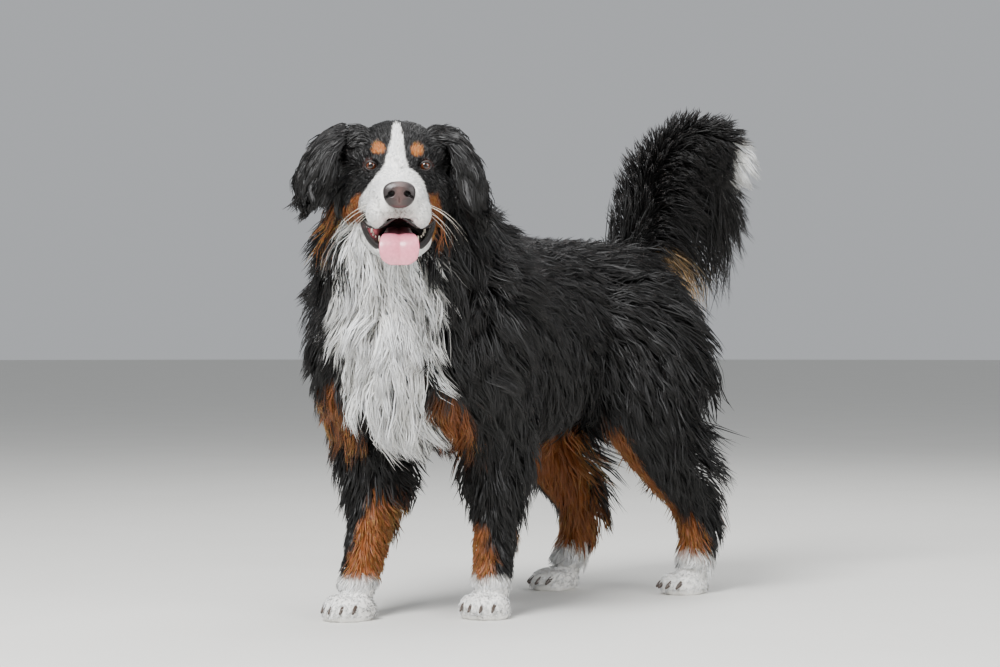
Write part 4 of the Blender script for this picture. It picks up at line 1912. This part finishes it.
def make_stage():
    """A plain pale floor, soft lights and the camera."""
    bm = bmesh.new()
    bmesh.ops.create_circle(bm, cap_ends=True, segments=96, radius=40.0)
    floor = mesh_object("floor", bm)
    material, tree, shader, place = new_material("painted_floor")
    cloud = add_node(tree, "ShaderNodeTexNoise", Vector=place, Scale=3.0, Detail=4.0).outputs["Fac"]
    pale, dull = linear("d9d8d4"), linear("d2d1cc")
    tone = add_node(tree, "ShaderNodeMix", {"data_type": "RGBA"}, i0=cloud, i6=(*dull, 1), i7=(*pale, 1))
    tree.links.new(tone.outputs[2], shader.inputs["Base Color"])
    set_shader(shader, Roughness=0.8)
    give(floor, material)
    eyes = np.mean([np.array(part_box(name)).mean(axis=0) for name in ("eye_left", "eye_right")], axis=0)
    turn = math.radians(VIEW_TURN)
    look = Vector((-math.sin(turn), math.cos(turn), 0))
    right = Vector((math.cos(turn), math.sin(turn), 0))
    camera = bpy.data.objects.new("camera", bpy.data.cameras.new("camera"))
    camera.data.lens = LENS
    camera.data.sensor_width = 36.0
    camera.location = Vector(eyes) - look * CAMERA_BACK + right * CAMERA_ASIDE
    camera.location.z = CAMERA_LEVEL
    camera.rotation_euler = look.to_track_quat("-Z", "Y").to_euler()
    bpy.context.scene.collection.objects.link(camera)
    bpy.context.scene.camera = camera
    middle = Vector(((CAD_BOX[0][0] + CAD_BOX[1][0]) / 2, (CAD_BOX[0][1] + CAD_BOX[1][1]) / 2, 0.45))
    for name, aside, back, up, size, watts in LIGHTS:
        light = bpy.data.lights.new(name, "AREA")
        light.shape, light.size, light.energy = "DISK", size, watts
        lamp = bpy.data.objects.new(name, light)
        lamp.location = middle + right * aside - look * back + Vector((0, 0, up))
        lamp.rotation_euler = (middle - lamp.location).to_track_quat("-Z", "Y").to_euler()
        bpy.context.scene.collection.objects.link(lamp)
    world = bpy.data.worlds.new("studio_air")
    world.use_nodes = True
    world.node_tree.nodes["Background"].inputs["Color"].default_value = (*linear("dfe2e6"), 1)
    world.node_tree.nodes["Background"].inputs["Strength"].default_value = 0.62
    bpy.context.scene.world = world


class DogSizes(bpy.types.PropertyGroup):
    """Sizes that a user would change."""

    hair_breadth: FloatProperty(
        name="Hair breadth", description="How broad each strand of the coat is, beside its usual breadth",
        default=1.0, min=0.3, max=3.0, subtype="FACTOR",
    )
    claw_size: FloatProperty(
        name="Claw size", description="How large the claws are, as a share of their usual size",
        default=1.0, min=0.5, max=1.5, subtype="FACTOR",
    )
    whisker_thickness: FloatProperty(
        name="Whisker thickness", description="How thick a whisker is at its root",
        default=0.0007, min=0.0002, max=0.003, unit="LENGTH", precision=5,
    )


class DogColours(bpy.types.PropertyGroup):
    """Colours of the bare parts."""

    horn: FloatVectorProperty(
        name="Horn", description="The colour of the claws",
        default=linear("4a3f38"), size=3, min=0, max=1, subtype="COLOR",
    )
    bristle: FloatVectorProperty(
        name="Whiskers", description="The colour of the whiskers",
        default=linear("e8e2d6"), size=3, min=0, max=1, subtype="COLOR",
    )


class DOG_OT_skin(bpy.types.Operator):
    """Makes the one skin that stands for every node of flesh."""

    bl_idname = "dog.skin"
    bl_label = "Skin"

    def execute(self, context):
        find_shift()
        skin = give(make_skin(), skin_material())
        flesh = [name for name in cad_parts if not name.startswith(("eye", "nose", "tongue"))]
        ride_as(skin, "coat_black", *flesh)
        return {"FINISHED"}


class DOG_OT_coat(bpy.types.Operator):
    """Grows the coat of the body, the head and the tail."""

    bl_idname = "dog.coat"
    bl_label = "Coat"

    def execute(self, context):
        MADE["hair"] = hair_material("brushed_dog_hair")
        sizes = context.scene.dog_sizes
        for piece in make_body_coat(sizes) + make_head_coat(sizes) + make_tail_coat(sizes):
            ride_as(piece, "coat_black")
        for name in ("body", "head"):
            bpy.data.objects.remove(MADE.pop(name))
        return {"FINISHED"}


class DOG_OT_eyes(bpy.types.Operator):
    """Sets the two eyeballs and their lids."""

    bl_idname = "dog.eyes"
    bl_label = "Eyes"

    def execute(self, context):
        MADE["eye_glaze"] = damp_material("moist_eye", 4.0, 0.12, 0.6, 0.00001)
        MADE["lid_skin"] = damp_material("lid_skin", 0.8, 0.55, 0.05)
        for side, mirror in (("left", 1), ("right", -1)):
            ride_as(make_eye("eyeball_" + side, mirror), "eye_glass", "eye_" + side)
            ride_as(make_lids("lids_" + side, mirror), "nose_skin")
        return {"FINISHED"}


class DOG_OT_muzzle(bpy.types.Operator):
    """Makes the nose, the tongue, the lips, the teeth and the whiskers."""

    bl_idname = "dog.muzzle"
    bl_label = "Nose and mouth"

    def execute(self, context):
        MADE["nose_leather"] = damp_material("nose_leather", 1.4, 0.45, 0.15)
        MADE["tongue_flesh"] = damp_material("tongue_flesh", 1.0, 0.34, 0.45, 0.0002)
        MADE["lip_skin"] = damp_material("lip_skin", 1.2, 0.42, 0.2, 0.0002)
        MADE["enamel"] = damp_material("tooth_enamel", 3.0, 0.20, 0.4, 0.00002)
        ride_as(make_nose(), "nose_skin", "nose")
        ride_as(make_tongue(), "tongue_skin", "tongue")
        ride_as(make_lips(), "nose_skin")
        ride_as(make_teeth(), "coat_white")
        MADE["bristle"] = plain_material("whisker_bristle", context.scene.dog_colours.bristle, 300.0, 0.35)
        ride_as(make_whiskers(context.scene.dog_sizes), "coat_white")
        return {"FINISHED"}


class DOG_OT_claws(bpy.types.Operator):
    """Sets four claws to each paw."""

    bl_idname = "dog.claws"
    bl_label = "Claws"

    def execute(self, context):
        MADE["horn"] = plain_material("claw_horn", context.scene.dog_colours.horn, 400.0, 0.32)
        ride_as(make_claws(context.scene.dog_sizes), "nose_skin")
        return {"FINISHED"}


class DOG_OT_stage(bpy.types.Operator):
    """Sets the floor, the lights and the camera."""

    bl_idname = "dog.stage"
    bl_label = "Stage"

    def execute(self, context):
        make_stage()
        return {"FINISHED"}


STEPS = ("skin", "coat", "eyes", "muzzle", "claws", "stage")


class DOG_PT_panel(bpy.types.Panel):
    """Lists the pieces of the dog."""

    bl_idname = "DOG_PT_panel"
    bl_label = "Standing dog"
    bl_space_type = "VIEW_3D"
    bl_region_type = "UI"
    bl_category = "Dog"

    def draw(self, context):
        column = self.layout.column()
        for name in DogSizes.__annotations__:
            column.prop(context.scene.dog_sizes, name)
        for name in DogColours.__annotations__:
            column.prop(context.scene.dog_colours, name)
        for step in STEPS:
            column.operator("dog." + step)


CLASSES = (
    DogSizes, DogColours, DOG_OT_skin, DOG_OT_coat, DOG_OT_eyes, DOG_OT_muzzle, DOG_OT_claws, DOG_OT_stage,
    DOG_PT_panel,
)


def register():
    for kind in CLASSES:
        bpy.utils.register_class(kind)
    bpy.types.Scene.dog_sizes = PointerProperty(type=DogSizes)
    bpy.types.Scene.dog_colours = PointerProperty(type=DogColours)


def unregister():
    del bpy.types.Scene.dog_colours
    del bpy.types.Scene.dog_sizes
    for kind in reversed(CLASSES):
        bpy.utils.unregister_class(kind)


def main():
    register()
    for step in STEPS:
        getattr(bpy.ops.dog, step)()


if __name__ == "__main__":
    main()
